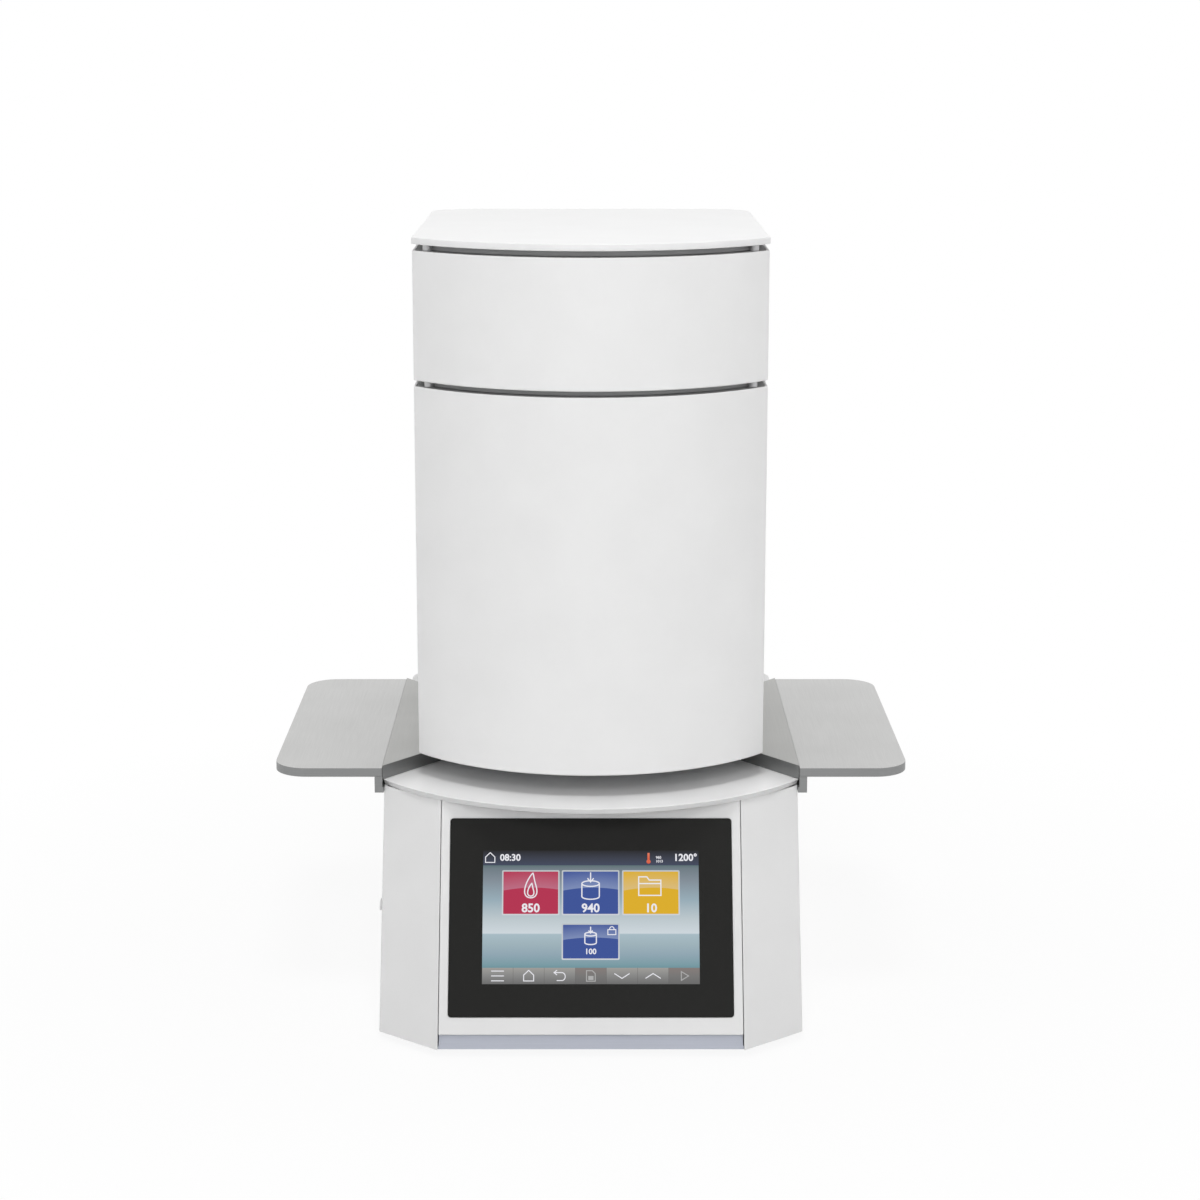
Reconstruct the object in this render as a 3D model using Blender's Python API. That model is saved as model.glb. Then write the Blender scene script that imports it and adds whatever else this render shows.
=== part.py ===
"""Press furnace for a dental laboratory.

A base with a leaning touch panel carries a lift, and the lift carries a head
with a firing chamber below and a press cylinder above. Two steel trays hang
on the sides of the base. Units are metres, +Z is up and -Y is the front. All
plans are measured from the axis of the firing chamber, and the origin lies
under the middle of the footprint, on the table.
"""

from math import atan2, cos, hypot, pi, radians, sin, sqrt, tan

import bmesh
import bpy
from mathutils import Matrix

# Fits
TOUCH = 0.0003
RUN = 0.0005
OVERRUN = 0.004
SEAM = 0.0008

# Sheet thicknesses
SHEET = 0.002
DECK_SHEET = 0.003
HOUSING_WALL = 0.0025

# Counts of straight sides in round shapes
CHAMBER_SIDES = 32
SHAFT_SIDES = 16
PORT_SIDES = 24
ARC_STEPS = 16
CORNER_STEPS = 3
FRAME_STEPS = 5

# Head plan, from the chamber axis
HOOD_HALF = 0.1293
HOOD_RADIUS = 0.1654
HOOD_CORNER = 0.0025
HOOD_BACK = 0.1858
HOOD_BACK_CORNER = 0.030
INNER_CORNER = 0.0006
REAR_SPLIT = 0.150
HOOD_LIP = 0.008
BAND_LIP = 0.022
SPACER_INSET = 0.0095
SPACER_CORNER = 0.009
LID_OVERHANG = 0.0005
LID_EDGE = 0.0008

# Base plan, from the chamber axis
PLATE_OVERHANG = 0.001
PLATE_RADIUS = 0.1936
PLATE_CORNER = 0.002
BASE_HALF = 0.1545
SEAM_HALF = 0.1096
FRONT_REACH = 0.2404
CHAMFER_DEPTH = 0.0367
COVER_BACK = 0.160
HOUSING_FRONT = 0.1538
HOUSING_BACK = 0.1958
HOUSING_CORNER = 0.018
HOUSING_EDGE = 0.0015
PORT_REACH = 0.013
PANEL_LEAN = radians(27.6)

# Heights
FOOT_HEIGHT = 0.006
WALL_HEIGHT = 0.1617
PLATE_THICKNESS = 0.004
HOOD_GAP = 0.0166
HOOD_HEIGHT = 0.2777
BAND_GAP = 0.0043
BAND_HEIGHT = 0.0944
LID_GAP = 0.0046
LID_THICKNESS = 0.005
STRIP_HEIGHT = 0.0097
HOUSING_RISE = 0.0067

# Lift
LIFT_BACK = 0.132
COLUMN_SPREAD = 0.085
COLUMN_RADIUS = 0.010
COLUMN_HEADROOM = 0.0333
COLUMN_CLEARANCE = 0.002
SPINDLE_RADIUS = 0.008
SPINDLE_OVER = 0.005
BRACKET_HALF = 0.110
BRACKET_DEPTH = 0.050
BRACKET_LEG = 0.008
BRACKET_TOP = 0.010
MOTOR_SIDE = 0.056
MOTOR_HEIGHT = 0.052
MOTOR_CORNER = 0.005
BOSS_RADIUS = 0.019
BOSS_HEIGHT = 0.005
SHAFT_RADIUS = 0.004
SHAFT_DEPTH = 0.010
COUPLER_RADIUS = 0.0125
COUPLER_HEIGHT = 0.024
COUPLER_LIFT = 0.007
SOCKET_DEPTH = 0.008
BUSH_RADIUS = 0.016
BUSH_FLANGE = 0.022
BUSH_LENGTH = 0.045
NUT_RADIUS = 0.013
NUT_FLANGE = 0.020
NUT_LENGTH = 0.036
FLANGE_HEIGHT = 0.005

# Firing chamber
CARRIER_THICKNESS = 0.008
MUFFLE_BORE = 0.046
MUFFLE_WALL = 0.003
MUFFLE_HEIGHT = 0.135
COIL_WIRE = 0.0013
COIL_CLEARANCE = 0.0009
COIL_TURNS = 4
COIL_POINTS_PER_TURN = 20
COIL_END = 0.012
CHAMBER_RADIUS = 0.100
CAN_WALL = 0.0015
INSULATION_CAP = 0.045
TABLE_RADIUS = 0.090
TABLE_HEIGHT = 0.012
PLINTH_RADIUS = 0.044
PLINTH_HEIGHT = 0.042
PLINTH_EDGE = 0.002
SEAL_SECTION = 0.003
SEAL_RADIUS = 0.074
SEAL_SIDES = 6
PROBE_RADIUS = 0.0025
PROBE_BACK = 0.037
PROBE_TIP = 0.115
PROBE_HEAD_RADIUS = 0.006
PROBE_HEAD_HEIGHT = 0.012

# Press
PLUNGER_RADIUS = 0.0065
PLUNGER_TIP = 0.140
PLUNGER_TIP_EDGE = 0.0015
PLUNGER_HOLE = 0.0080
CHUCK_RADIUS = 0.010
PRESS_STROKE = 0.055
CHUCK_GAP = 0.0026
CHUCK_HEIGHT = 0.0177
CHUCK_DEPTH = 0.010
ROD_RADIUS = 0.006
ROD_HOLE = 0.012
CYLINDER_RADIUS = 0.030
CYLINDER_BORE = 0.026
CYLINDER_FLANGE = 0.038
CYLINDER_HEIGHT = 0.088
CYLINDER_END = 0.008
PISTON_HEIGHT = 0.014
PISTON_TOP_GAP = 0.001

# Touch panel, on the leaning front
STRIP_RECESS = 0.0023
PANEL_START = 0.0112
PANEL_CORNER = 0.0008
GLASS_WIDTH = 0.2058
GLASS_LENGTH = 0.1453
GLASS_MIDDLE = 0.09575
GLASS_CORNER = 0.004
GLASS_THICKNESS = 0.0026
GLASS_PROUD = 0.0006
GLASS_EDGE = 0.0005
GLASS_FIT = 0.0005
SCREEN_BRACKET_WIDTH = 0.2140
SCREEN_BRACKET_LENGTH = 0.1560
SCREEN_BRACKET_SHEET = 0.0015
SCREEN_WIDTH = 0.1720
SCREEN_LENGTH = 0.1110
SCREEN_DEPTH = 0.007
SCREEN_CORNER = 0.002
BOARD_WIDTH = 0.202
BOARD_LENGTH = 0.130
BOARD_THICKNESS = 0.0016
BOARD_STANDOFF = 0.016
STANDOFF_RADIUS = 0.003
STANDOFF_EDGE = 0.005
CHIP_HEIGHT = 0.006
CHIP_SHARES = ((-0.25, 0.15, 0.20, 0.28), (0.22, -0.12, 0.26, 0.20), (0.05, 0.30, 0.16, 0.10))

# Trays
TRAY_REACH = 0.0818
TRAY_FRONT = 0.1226
TRAY_BACK = 0.1517
TRAY_TOP_DROP = 0.0003
TRAY_RIM = 0.0061
TRAY_SHEET = 0.0015
TRAY_CORNER = 0.025
TRAY_RAIL_WIDTH = 0.0057
TRAY_RAIL_DROP = 0.0121
MOUNT_HEIGHT = 0.0097
MOUNT_INNER = 0.1153
MOUNT_FRONT = 0.1172
MOUNT_BACK = 0.1548
MOUNT_SLOPE = radians(52)

# Rear connections, on the back of the housing
REAR_MIDDLE = 0.088
WINDOW_MARGIN = 0.0262
WINDOW_HEIGHT = 0.116
WINDOW_CORNER = 0.006
PANEL_LAP = 0.010
INLET_INSET = 0.026
SWITCH_RISE = 0.034
FUSE_PITCH = 0.032
AIR_INSET = 0.024
FAN_INSET = 0.056
INLET_BODY = (0.027, 0.020)
INLET_FLANGE = (0.031, 0.024)
INLET_RECESS = (0.0225, 0.0155)
INLET_DEPTH = 0.022
INLET_RECESS_DEPTH = 0.016
CONNECTOR_FLANGE = 0.0025
CONNECTOR_CORNER = 0.002
SWITCH_BODY = (0.0162, 0.0250)
SWITCH_FLANGE = (0.0200, 0.0290)
SWITCH_BORE = (0.0132, 0.0220)
SWITCH_DEPTH = 0.014
ROCKER_WIDTH = 0.0120
ROCKER_LENGTH = 0.0200
ROCKER_CREST = 0.0046
ROCKER_DIP = 0.0022
ROCKER_DEPTH = 0.0070
ROCKER_ROOT_SHARE = 0.30
ROCKER_TILT = radians(7)
FUSE_BODY_RADIUS = 0.006
FUSE_FLANGE_RADIUS = 0.0085
FUSE_CAP_RADIUS = 0.0064
FUSE_CAP_HEIGHT = 0.007
FUSE_DEPTH = 0.028
NIPPLE_BODY_RADIUS = 0.0055
NIPPLE_NUT_RADIUS = 0.0085
NIPPLE_NUT_HEIGHT = 0.005
NIPPLE_RADIUS = 0.0036
NIPPLE_BARB_RADIUS = 0.0046
NIPPLE_BARB_PITCH = 0.0025
NIPPLE_BARBS = 2
NIPPLE_BORE = 0.0016
NIPPLE_BORE_DEPTH = 0.009
NIPPLE_DEPTH = 0.014
AIR_SHORTER = 0.001

# Fan
FAN_SIDE = 0.060
FAN_DEPTH = 0.020
FAN_BORE = 0.0285
FAN_CORNER = 0.004
FAN_HUB_RADIUS = 0.0125
FAN_SPIDER = 0.003
FAN_ARM_WIDTH = 0.004
FAN_ARM_BITE = 0.001
FAN_ARM_START = radians(30)
FAN_ARMS = 3
FAN_BLADES = 7
FAN_BLADE_TIP = 0.0267
FAN_BLADE_ROOT = 0.0105
FAN_BLADE_CHORD = 0.012
FAN_BLADE_THICKNESS = 0.0012
FAN_BLADE_PITCH = radians(38)
GRILLE_THICKNESS = 0.0012
GRILLE_WIRE = 0.0016
GRILLE_RING_SHARES = (0.55, 0.96)

# Loose items of the base
POWER_INSET = (0.0125, 0.1104)
POWER_SIZE = (0.100, 0.170)
POWER_HEIGHT = 0.055
POWER_LEDGE = 0.022
POWER_LEDGE_HEIGHT = 0.024
VALVE_INSET = (0.0595, 0.1804)
VALVE_BODY = (0.040, 0.060)
VALVE_HEIGHT = 0.028
VALVE_COIL_RADIUS = 0.016
VALVE_COIL_HEIGHT = 0.040
VALVE_PORT_RADIUS = 0.005
VALVE_PORT_REACH = 0.012
FOOT_RADIUS = 0.012
FOOT_TOP_RADIUS = 0.0135
FOOT_FRONT_INSET = (0.0176, 0.0504)
FOOT_REAR_INSET = (0.0295, 0.0358)
CAP_LENGTH = 0.014
CAP_HEIGHT = 0.0065
CAP_REACH = 0.0026
CAP_DRAFT = 0.0008
CAP_SETBACK = 0.0202
CAP_RISE = 0.0831

# Vents in the rear cover
VENT_COUNT = 7
VENT_WIDTH = 0.120
VENT_HEIGHT = 0.0035
VENT_PITCH = 0.009
VENT_DROP = 0.0727
VENT_RISE = 0.018

# Derived places
PLATE_HALF = BASE_HALF + PLATE_OVERHANG
TRAY_OUTER = PLATE_HALF + TRAY_REACH
CHAMBER_Y = (FRONT_REACH - HOUSING_BACK - PORT_REACH) / 2
WALL_TOP = FOOT_HEIGHT + WALL_HEIGHT
PLATE_Z = WALL_TOP + TOUCH
PLATE_TOP = PLATE_Z + PLATE_THICKNESS
PLATE_BACK = HOUSING_FRONT - TOUCH
HOOD_Z = PLATE_TOP + HOOD_GAP
FLOOR_TOP = FOOT_HEIGHT + SHEET
BAND_Z = HOOD_HEIGHT + BAND_GAP
BAND_TOP = BAND_Z + BAND_HEIGHT
LID_Z = BAND_TOP + LID_GAP
CARRIER_Z = SHEET + TOUCH
CARRIER_TOP = CARRIER_Z + CARRIER_THICKNESS
CHAMBER_Z = CARRIER_TOP + TOUCH
COIL_RADIUS = MUFFLE_BORE + MUFFLE_WALL + COIL_CLEARANCE + COIL_WIRE
INSULATION_BORE = COIL_RADIUS + COIL_WIRE + COIL_CLEARANCE
INSULATION_RADIUS = CHAMBER_RADIUS - CAN_WALL - TOUCH
CHAMBER_CEILING = CHAMBER_Z + MUFFLE_HEIGHT + TOUCH
INSULATION_TOP = CHAMBER_CEILING + INSULATION_CAP
CAN_TOP = INSULATION_TOP + TOUCH + CAN_WALL
CHUCK_BOTTOM = CAN_TOP + CHUCK_GAP + PRESS_STROKE
COLUMN_TOP = HOOD_Z + HOOD_HEIGHT - DECK_SHEET - COLUMN_HEADROOM
SPINDLE_TOP = COLUMN_TOP + SPINDLE_OVER
PANEL_END = WALL_HEIGHT / cos(PANEL_LEAN)
FRONT_HALF = SEAM_HALF - SEAM / 2
COVER_START = SEAM_HALF + SEAM / 2
HOUSING_HALF = BASE_HALF - SHEET - TOUCH
HOUSING_TOP = PLATE_TOP + HOUSING_RISE
BRACKET_Z = FLOOR_TOP + TOUCH
BRACKET_CEILING = BRACKET_Z + MOTOR_HEIGHT + TOUCH
BRACKET_HEIGHT_Z = BRACKET_CEILING + BRACKET_TOP
PANEL_PLANE = -HOUSING_WALL - TOUCH
WINDOW_WIDTH = 2 * (HOUSING_HALF - HOUSING_CORNER - WINDOW_MARGIN)
INLET_PLACE = (WINDOW_WIDTH / 2 - INLET_INSET, INLET_INSET - WINDOW_HEIGHT / 2)
SWITCH_PLACE = (INLET_PLACE[0], INLET_PLACE[1] + SWITCH_RISE)
FUSE_PLACE = (INLET_PLACE[0] - FUSE_PITCH, INLET_PLACE[1])
AIR_PLACE = (FUSE_PLACE[0], WINDOW_HEIGHT / 2 - AIR_INSET)
VACUUM_PLACE = (FUSE_PLACE[0], (FUSE_PLACE[1] + AIR_PLACE[1]) / 2)
FAN_PLACE = (FAN_INSET - WINDOW_WIDTH / 2, 0)
POWER_PLACE = (SHEET + POWER_INSET[0] - BASE_HALF, POWER_INSET[1] - FRONT_REACH)
VALVE_PLACE = (BASE_HALF - VALVE_INSET[0], VALVE_INSET[1] - FRONT_REACH)
FOOT_FRONT_PLACE = (SEAM_HALF - FOOT_FRONT_INSET[0], FOOT_FRONT_INSET[1] - FRONT_REACH)
FOOT_REAR_PLACE = (BASE_HALF - FOOT_REAR_INSET[0], HOUSING_BACK - FOOT_REAR_INSET[1])
CAP_FRONT = FRONT_REACH - CHAMFER_DEPTH - (CAP_RISE - FOOT_HEIGHT) * tan(PANEL_LEAN) - CAP_SETBACK
VENT_LOW = HOOD_HEIGHT - VENT_DROP
VENT_HIGH = BAND_Z + VENT_RISE

# Finishes: colour, roughness, metallic
WHITE_COAT = ((0.80, 0.80, 0.79), 0.38, 0.0)
DARK_COAT = ((0.10, 0.10, 0.105), 0.50, 0.0)
SATIN_STRIP = ((0.47, 0.49, 0.53), 0.42, 0.7)
BRUSHED_STEEL = ((0.60, 0.60, 0.61), 0.34, 1.0)
POLISHED_STEEL = ((0.72, 0.72, 0.73), 0.18, 1.0)
ALUMINIUM = ((0.66, 0.67, 0.68), 0.36, 1.0)
BLACK_GLASS = ((0.010, 0.010, 0.012), 0.08, 0.0)
BLACK_PLASTIC = ((0.025, 0.025, 0.027), 0.45, 0.0)
SCREEN_GREY = ((0.30, 0.42, 0.46), 0.30, 0.0)
BOARD_GREEN = ((0.03, 0.16, 0.07), 0.45, 0.0)
BLACK_RUBBER = ((0.030, 0.030, 0.030), 0.80, 0.0)
FIBRE = ((0.84, 0.80, 0.72), 0.95, 0.0)
QUARTZ = ((0.86, 0.88, 0.88), 0.10, 0.0)
HOT_WIRE = ((0.32, 0.26, 0.22), 0.55, 1.0)
SEAL_RED = ((0.45, 0.07, 0.04), 0.60, 0.0)
BRASS = ((0.72, 0.53, 0.22), 0.30, 1.0)
BRONZE = ((0.50, 0.33, 0.16), 0.40, 1.0)
ALUMINA = ((0.88, 0.85, 0.78), 0.35, 0.0)


# Outlines and meshes

def circle(radius, sides, centre=(0, 0)):
    """Points of a regular polygon, the first one at +X."""
    turns = [2 * pi * index / sides for index in range(sides)]
    return [(centre[0] + radius * cos(turn), centre[1] + radius * sin(turn)) for turn in turns]


def arc(centre, radius, start, end, steps):
    """Points along an arc from one angle to another, both ends included."""
    angles = [start + (end - start) * index / steps for index in range(steps + 1)]
    return [(centre[0] + radius * cos(angle), centre[1] + radius * sin(angle)) for angle in angles]


def rounded_rectangle(width, length, corner, steps, centre=(0, 0)):
    """Outline with a quarter circle at each corner, starting on the right at the bottom."""
    points = []
    for quarter, (side, end) in enumerate(((1, 1), (-1, 1), (-1, -1), (1, -1))):
        middle = (centre[0] + side * (width / 2 - corner), centre[1] + end * (length / 2 - corner))
        points += arc(middle, corner, quarter * pi / 2, (quarter + 1) * pi / 2, steps)
    return points


def front_curve(half, radius, corner, inset):
    """Bowed front from left to right, about the chamber axis, with a rounded corner at each end."""
    side, bow = half - inset, radius - inset
    corner = max(corner - inset, INNER_CORNER)
    centre = (corner - side, -sqrt((bow - corner) ** 2 - (side - corner) ** 2))
    join = atan2(centre[1], centre[0]) + 2 * pi
    left = arc(centre, corner, pi, join, CORNER_STEPS)
    bowed = arc((0, 0), bow, join, 3 * pi - join, ARC_STEPS)
    right = arc((-centre[0], centre[1]), corner, 3 * pi - join, 2 * pi, CORNER_STEPS)
    return left + bowed[1:-1] + right


def rear_curve(half, back, corner, inset):
    """Straight back from right to left, with a rounded corner at each end."""
    corner = max(corner - inset, INNER_CORNER)
    side, end = half - inset - corner, back - inset - corner
    right = arc((side, end), corner, 0, pi / 2, 2 * CORNER_STEPS)
    left = arc((-side, end), corner, pi / 2, pi, 2 * CORNER_STEPS)
    return right + left


def head_outline(inset, corner=HOOD_CORNER):
    """Plan of the whole head."""
    front = front_curve(HOOD_HALF, HOOD_RADIUS, corner, inset)
    return front + rear_curve(HOOD_HALF, HOOD_BACK, HOOD_BACK_CORNER, inset)


def head_wrap(inset):
    """Front and sides of the head, as far as the seam to the rear cover."""
    side, end = HOOD_HALF - inset, REAR_SPLIT - SEAM / 2
    return [(-side, end)] + front_curve(HOOD_HALF, HOOD_RADIUS, HOOD_CORNER, inset) + [(side, end)]


def head_rear(inset):
    """Back of the head, from the seam to the seam."""
    side, end = HOOD_HALF - inset, REAR_SPLIT + SEAM / 2
    return [(side, end)] + rear_curve(HOOD_HALF, HOOD_BACK, HOOD_BACK_CORNER, inset) + [(-side, end)]


def level(outline, height):
    """An outline as points in space at one height."""
    return [(x, y, height) for x, y in outline]


def loft(loops, closed=False):
    """Body through loops of equal count: capped at both ends, or closed into a ring."""
    bm = bmesh.new()
    rows = [[bm.verts.new(point) for point in loop] for loop in loops]
    count = len(rows[0])
    pairs = list(zip(rows, rows[1:] + rows[:1])) if closed else list(zip(rows, rows[1:]))
    for low, high in pairs:
        for index in range(count):
            after = (index + 1) % count
            bm.faces.new((low[index], low[after], high[after], high[index]))
    if not closed:
        bm.faces.new(rows[0])
        bm.faces.new(rows[-1])
    return bm


def slab(outline, low, high):
    """Plate of one outline between two heights."""
    return loft([level(outline, low), level(outline, high)])


def turned(profile, sides, closed=False):
    """Body of revolution from points of radius and height."""
    return loft([level(circle(radius, sides), height) for radius, height in profile], closed)


def folded(section, path):
    """Sheet that follows an open path: section points are insets and heights."""
    return loft([list(row) for row in zip(*[level(path(inset), height) for inset, height in section])])


def box(low, high):
    """Block between two corners."""
    outline = [(low[0], low[1]), (high[0], low[1]), (high[0], high[1]), (low[0], high[1])]
    return slab(outline, low[2], high[2])


def leaning(outline, low, high):
    """Body whose outline points with a flag follow the lean of the front."""
    loops = []
    for height in (low, high):
        shift = (height - FOOT_HEIGHT) * tan(PANEL_LEAN)
        loops.append([(x, y + flag * shift, height) for x, y, flag in outline])
    return loft(loops)


def merged(parts):
    """Several separate bodies in one mesh, used for cutters and additions."""
    total = bmesh.new()
    for part in parts:
        mesh = bpy.data.meshes.new("piece")
        bmesh.ops.recalc_face_normals(part, faces=part.faces)
        part.to_mesh(mesh)
        part.free()
        total.from_mesh(mesh)
        bpy.data.meshes.remove(mesh)
    return total


# Objects

def empty(name, place, turn=(0, 0, 0), parent=None):
    """Frame that carries pieces."""
    frame = bpy.data.objects.new(name, None)
    frame.location = place
    frame.rotation_euler = turn
    frame.parent = parent
    bpy.context.scene.collection.objects.link(frame)
    return frame


def principled(name, finish):
    """Material with one colour, roughness and metallic value."""
    colour, roughness, metallic = finish
    material = bpy.data.materials.new(name)
    material.use_nodes = True
    shader = material.node_tree.nodes["Principled BSDF"]
    shader.inputs["Base Color"].default_value = (*colour, 1.0)
    shader.inputs["Roughness"].default_value = roughness
    shader.inputs["Metallic"].default_value = metallic
    return material


def piece(name, bm, finish, parent, place=(0, 0, 0), turn=(0, 0, 0)):
    """Named solid with its own material, placed in its frame."""
    bmesh.ops.recalc_face_normals(bm, faces=bm.faces)
    mesh = bpy.data.meshes.new(name)
    bm.to_mesh(mesh)
    bm.free()
    mesh.shade_smooth()
    mesh.set_sharp_from_angle(angle=radians(32))
    obj = bpy.data.objects.new(name, mesh)
    obj.location = place
    obj.rotation_euler = turn
    obj.parent = parent
    bpy.context.scene.collection.objects.link(obj)
    if finish:
        mesh.materials.append(principled(name, finish))
    return obj


def change(target, bm, operation, place=(0, 0, 0), turn=(0, 0, 0)):
    """Cut or join a hidden shape, placed in the frame of the target."""
    label = target.name + "_" + operation.lower() + str(len(target.modifiers))
    tool = piece(label, bm, None, target.parent, place, turn)
    tool.hide_render = True
    tool.display_type = "WIRE"
    modifier = target.modifiers.new(label, "BOOLEAN")
    modifier.operation = operation
    modifier.solver = "EXACT"
    modifier.object = tool
    return target


def cut(target, bm, place=(0, 0, 0), turn=(0, 0, 0)):
    """Take a shape away."""
    return change(target, bm, "DIFFERENCE", place, turn)


def join(target, bm, place=(0, 0, 0), turn=(0, 0, 0)):
    """Add a shape."""
    return change(target, bm, "UNION", place, turn)


def hole(radius, low, high, sides=SHAFT_SIDES, centre=(0, 0)):
    """Round cutter that passes both faces of a plate."""
    return slab(circle(radius, sides, centre), low - OVERRUN, high + OVERRUN)


# Base

def chamfer_line(x, depth):
    """How far forward the slanted corner panel reaches at one x, behind its skin by depth."""
    slope = CHAMFER_DEPTH / (BASE_HALF - COVER_START)
    return -FRONT_REACH + (x - COVER_START) * slope + depth * hypot(1, slope)


def build_chassis(base):
    """Floor pan with the satin strip that shows under the front panel."""
    half = BASE_HALF - SHEET - TOUCH
    front = -FRONT_REACH + STRIP_RECESS / cos(PANEL_LEAN)
    start = COVER_START - TOUCH
    behind = SHEET + TOUCH
    right = [(start, front, 1), (start, chamfer_line(start, behind), 1),
             (half, chamfer_line(half, behind), 1), (half, PLATE_BACK, 0)]
    inset = HOUSING_WALL + TOUCH
    rear = [(x, y, 0) for x, y in rear_curve(HOUSING_HALF, HOUSING_BACK, HOUSING_CORNER, inset)]
    step = [(rear[0][0], PLATE_BACK, 0)] + rear + [(rear[-1][0], PLATE_BACK, 0)]
    left = [(-x, y, flag) for x, y, flag in reversed(right)]
    floor = leaning(right + step + left, FOOT_HEIGHT, FLOOR_TOP)
    chassis = piece("base_chassis", floor, SATIN_STRIP, base)
    depth = SHEET / cos(PANEL_LEAN)
    strip = [(-FRONT_HALF, front, 1), (FRONT_HALF, front, 1), (FRONT_HALF, front + depth, 1),
             (-FRONT_HALF, front + depth, 1)]
    join(chassis, leaning(strip, FOOT_HEIGHT, FOOT_HEIGHT + STRIP_HEIGHT))


def build_side_cover(base, name, side):
    """Folded sheet: slanted corner panel and side wall in one."""
    inner = BASE_HALF - SHEET
    outline = [(COVER_START, chamfer_line(COVER_START, 0), 1), (BASE_HALF, chamfer_line(BASE_HALF, 0), 1),
               (BASE_HALF, COVER_BACK, 0), (inner, COVER_BACK, 0), (inner, chamfer_line(inner, SHEET), 1),
               (COVER_START, chamfer_line(COVER_START, SHEET), 1)]
    outline = [(side * x, y, flag) for x, y, flag in outline]
    piece(name, leaning(outline, FOOT_HEIGHT, WALL_TOP), WHITE_COAT, base)


def build_front_panel(panel):
    """Leaning front sheet with the window of the touch glass."""
    length = PANEL_END - PANEL_START
    middle = (0, PANEL_START + length / 2)
    edge = rounded_rectangle(2 * FRONT_HALF, length, PANEL_CORNER, CORNER_STEPS, middle)
    window = rounded_rectangle(GLASS_WIDTH + 2 * GLASS_FIT, GLASS_LENGTH + 2 * GLASS_FIT,
                               GLASS_CORNER + GLASS_FIT, CORNER_STEPS, (0, GLASS_MIDDLE))
    loops = [level(edge, -SHEET), level(edge, 0), level(window, 0), level(window, -SHEET)]
    piece("front_panel", loft(loops, closed=True), WHITE_COAT, panel)


def build_glass(panel):
    """Black touch glass, a little proud of its window, with a ground edge."""
    middle = (0, GLASS_MIDDLE)
    full = rounded_rectangle(GLASS_WIDTH, GLASS_LENGTH, GLASS_CORNER, CORNER_STEPS, middle)
    face = rounded_rectangle(GLASS_WIDTH - 2 * GLASS_EDGE, GLASS_LENGTH - 2 * GLASS_EDGE,
                             GLASS_CORNER - GLASS_EDGE, CORNER_STEPS, middle)
    loops = [level(full, GLASS_PROUD - GLASS_THICKNESS), level(full, GLASS_PROUD - GLASS_EDGE),
             level(face, GLASS_PROUD)]
    piece("display_glass", loft(loops), BLACK_GLASS, panel)


def build_screen(panel):
    """Screen module in its sheet bracket, behind the glass."""
    middle = (0, GLASS_MIDDLE)
    top = GLASS_PROUD - GLASS_THICKNESS - TOUCH
    edge = rounded_rectangle(SCREEN_BRACKET_WIDTH, SCREEN_BRACKET_LENGTH, SCREEN_CORNER, CORNER_STEPS, middle)
    opening = rounded_rectangle(SCREEN_WIDTH + 2 * TOUCH, SCREEN_LENGTH + 2 * TOUCH, SCREEN_CORNER,
                                CORNER_STEPS, middle)
    low = top - SCREEN_BRACKET_SHEET
    loops = [level(edge, low), level(edge, top), level(opening, top), level(opening, low)]
    piece("display_bracket", loft(loops, closed=True), BRUSHED_STEEL, panel)
    screen = rounded_rectangle(SCREEN_WIDTH, SCREEN_LENGTH, SCREEN_CORNER, CORNER_STEPS, middle)
    piece("lcd_module", slab(screen, top - SCREEN_DEPTH, top), SCREEN_GREY, panel)


def build_board(panel):
    """Control board on four standoffs that meet the screen bracket."""
    seat = GLASS_PROUD - GLASS_THICKNESS - 2 * TOUCH - SCREEN_BRACKET_SHEET
    top = seat - BOARD_STANDOFF
    low = top - BOARD_THICKNESS
    middle = (0, GLASS_MIDDLE)
    outline = rounded_rectangle(BOARD_WIDTH, BOARD_LENGTH, SCREEN_CORNER, CORNER_STEPS, middle)
    board = piece("control_board", slab(outline, low, top), BOARD_GREEN, panel)
    across, along = BOARD_WIDTH / 2 - STANDOFF_EDGE, BOARD_LENGTH / 2 - STANDOFF_EDGE
    posts = [slab(circle(STANDOFF_RADIUS, SHAFT_SIDES, (across * u, GLASS_MIDDLE + along * v)), low, seat)
             for u in (-1, 1) for v in (-1, 1)]
    join(board, merged(posts))
    chips = []
    for right, up, wide, tall in CHIP_SHARES:
        centre = (right * BOARD_WIDTH, GLASS_MIDDLE + up * BOARD_LENGTH)
        chip = rounded_rectangle(wide * BOARD_WIDTH, tall * BOARD_LENGTH, PANEL_CORNER, 1, centre)
        chips.append(slab(chip, low - CHIP_HEIGHT, top - BOARD_THICKNESS / 2))
    join(board, merged(chips))


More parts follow.
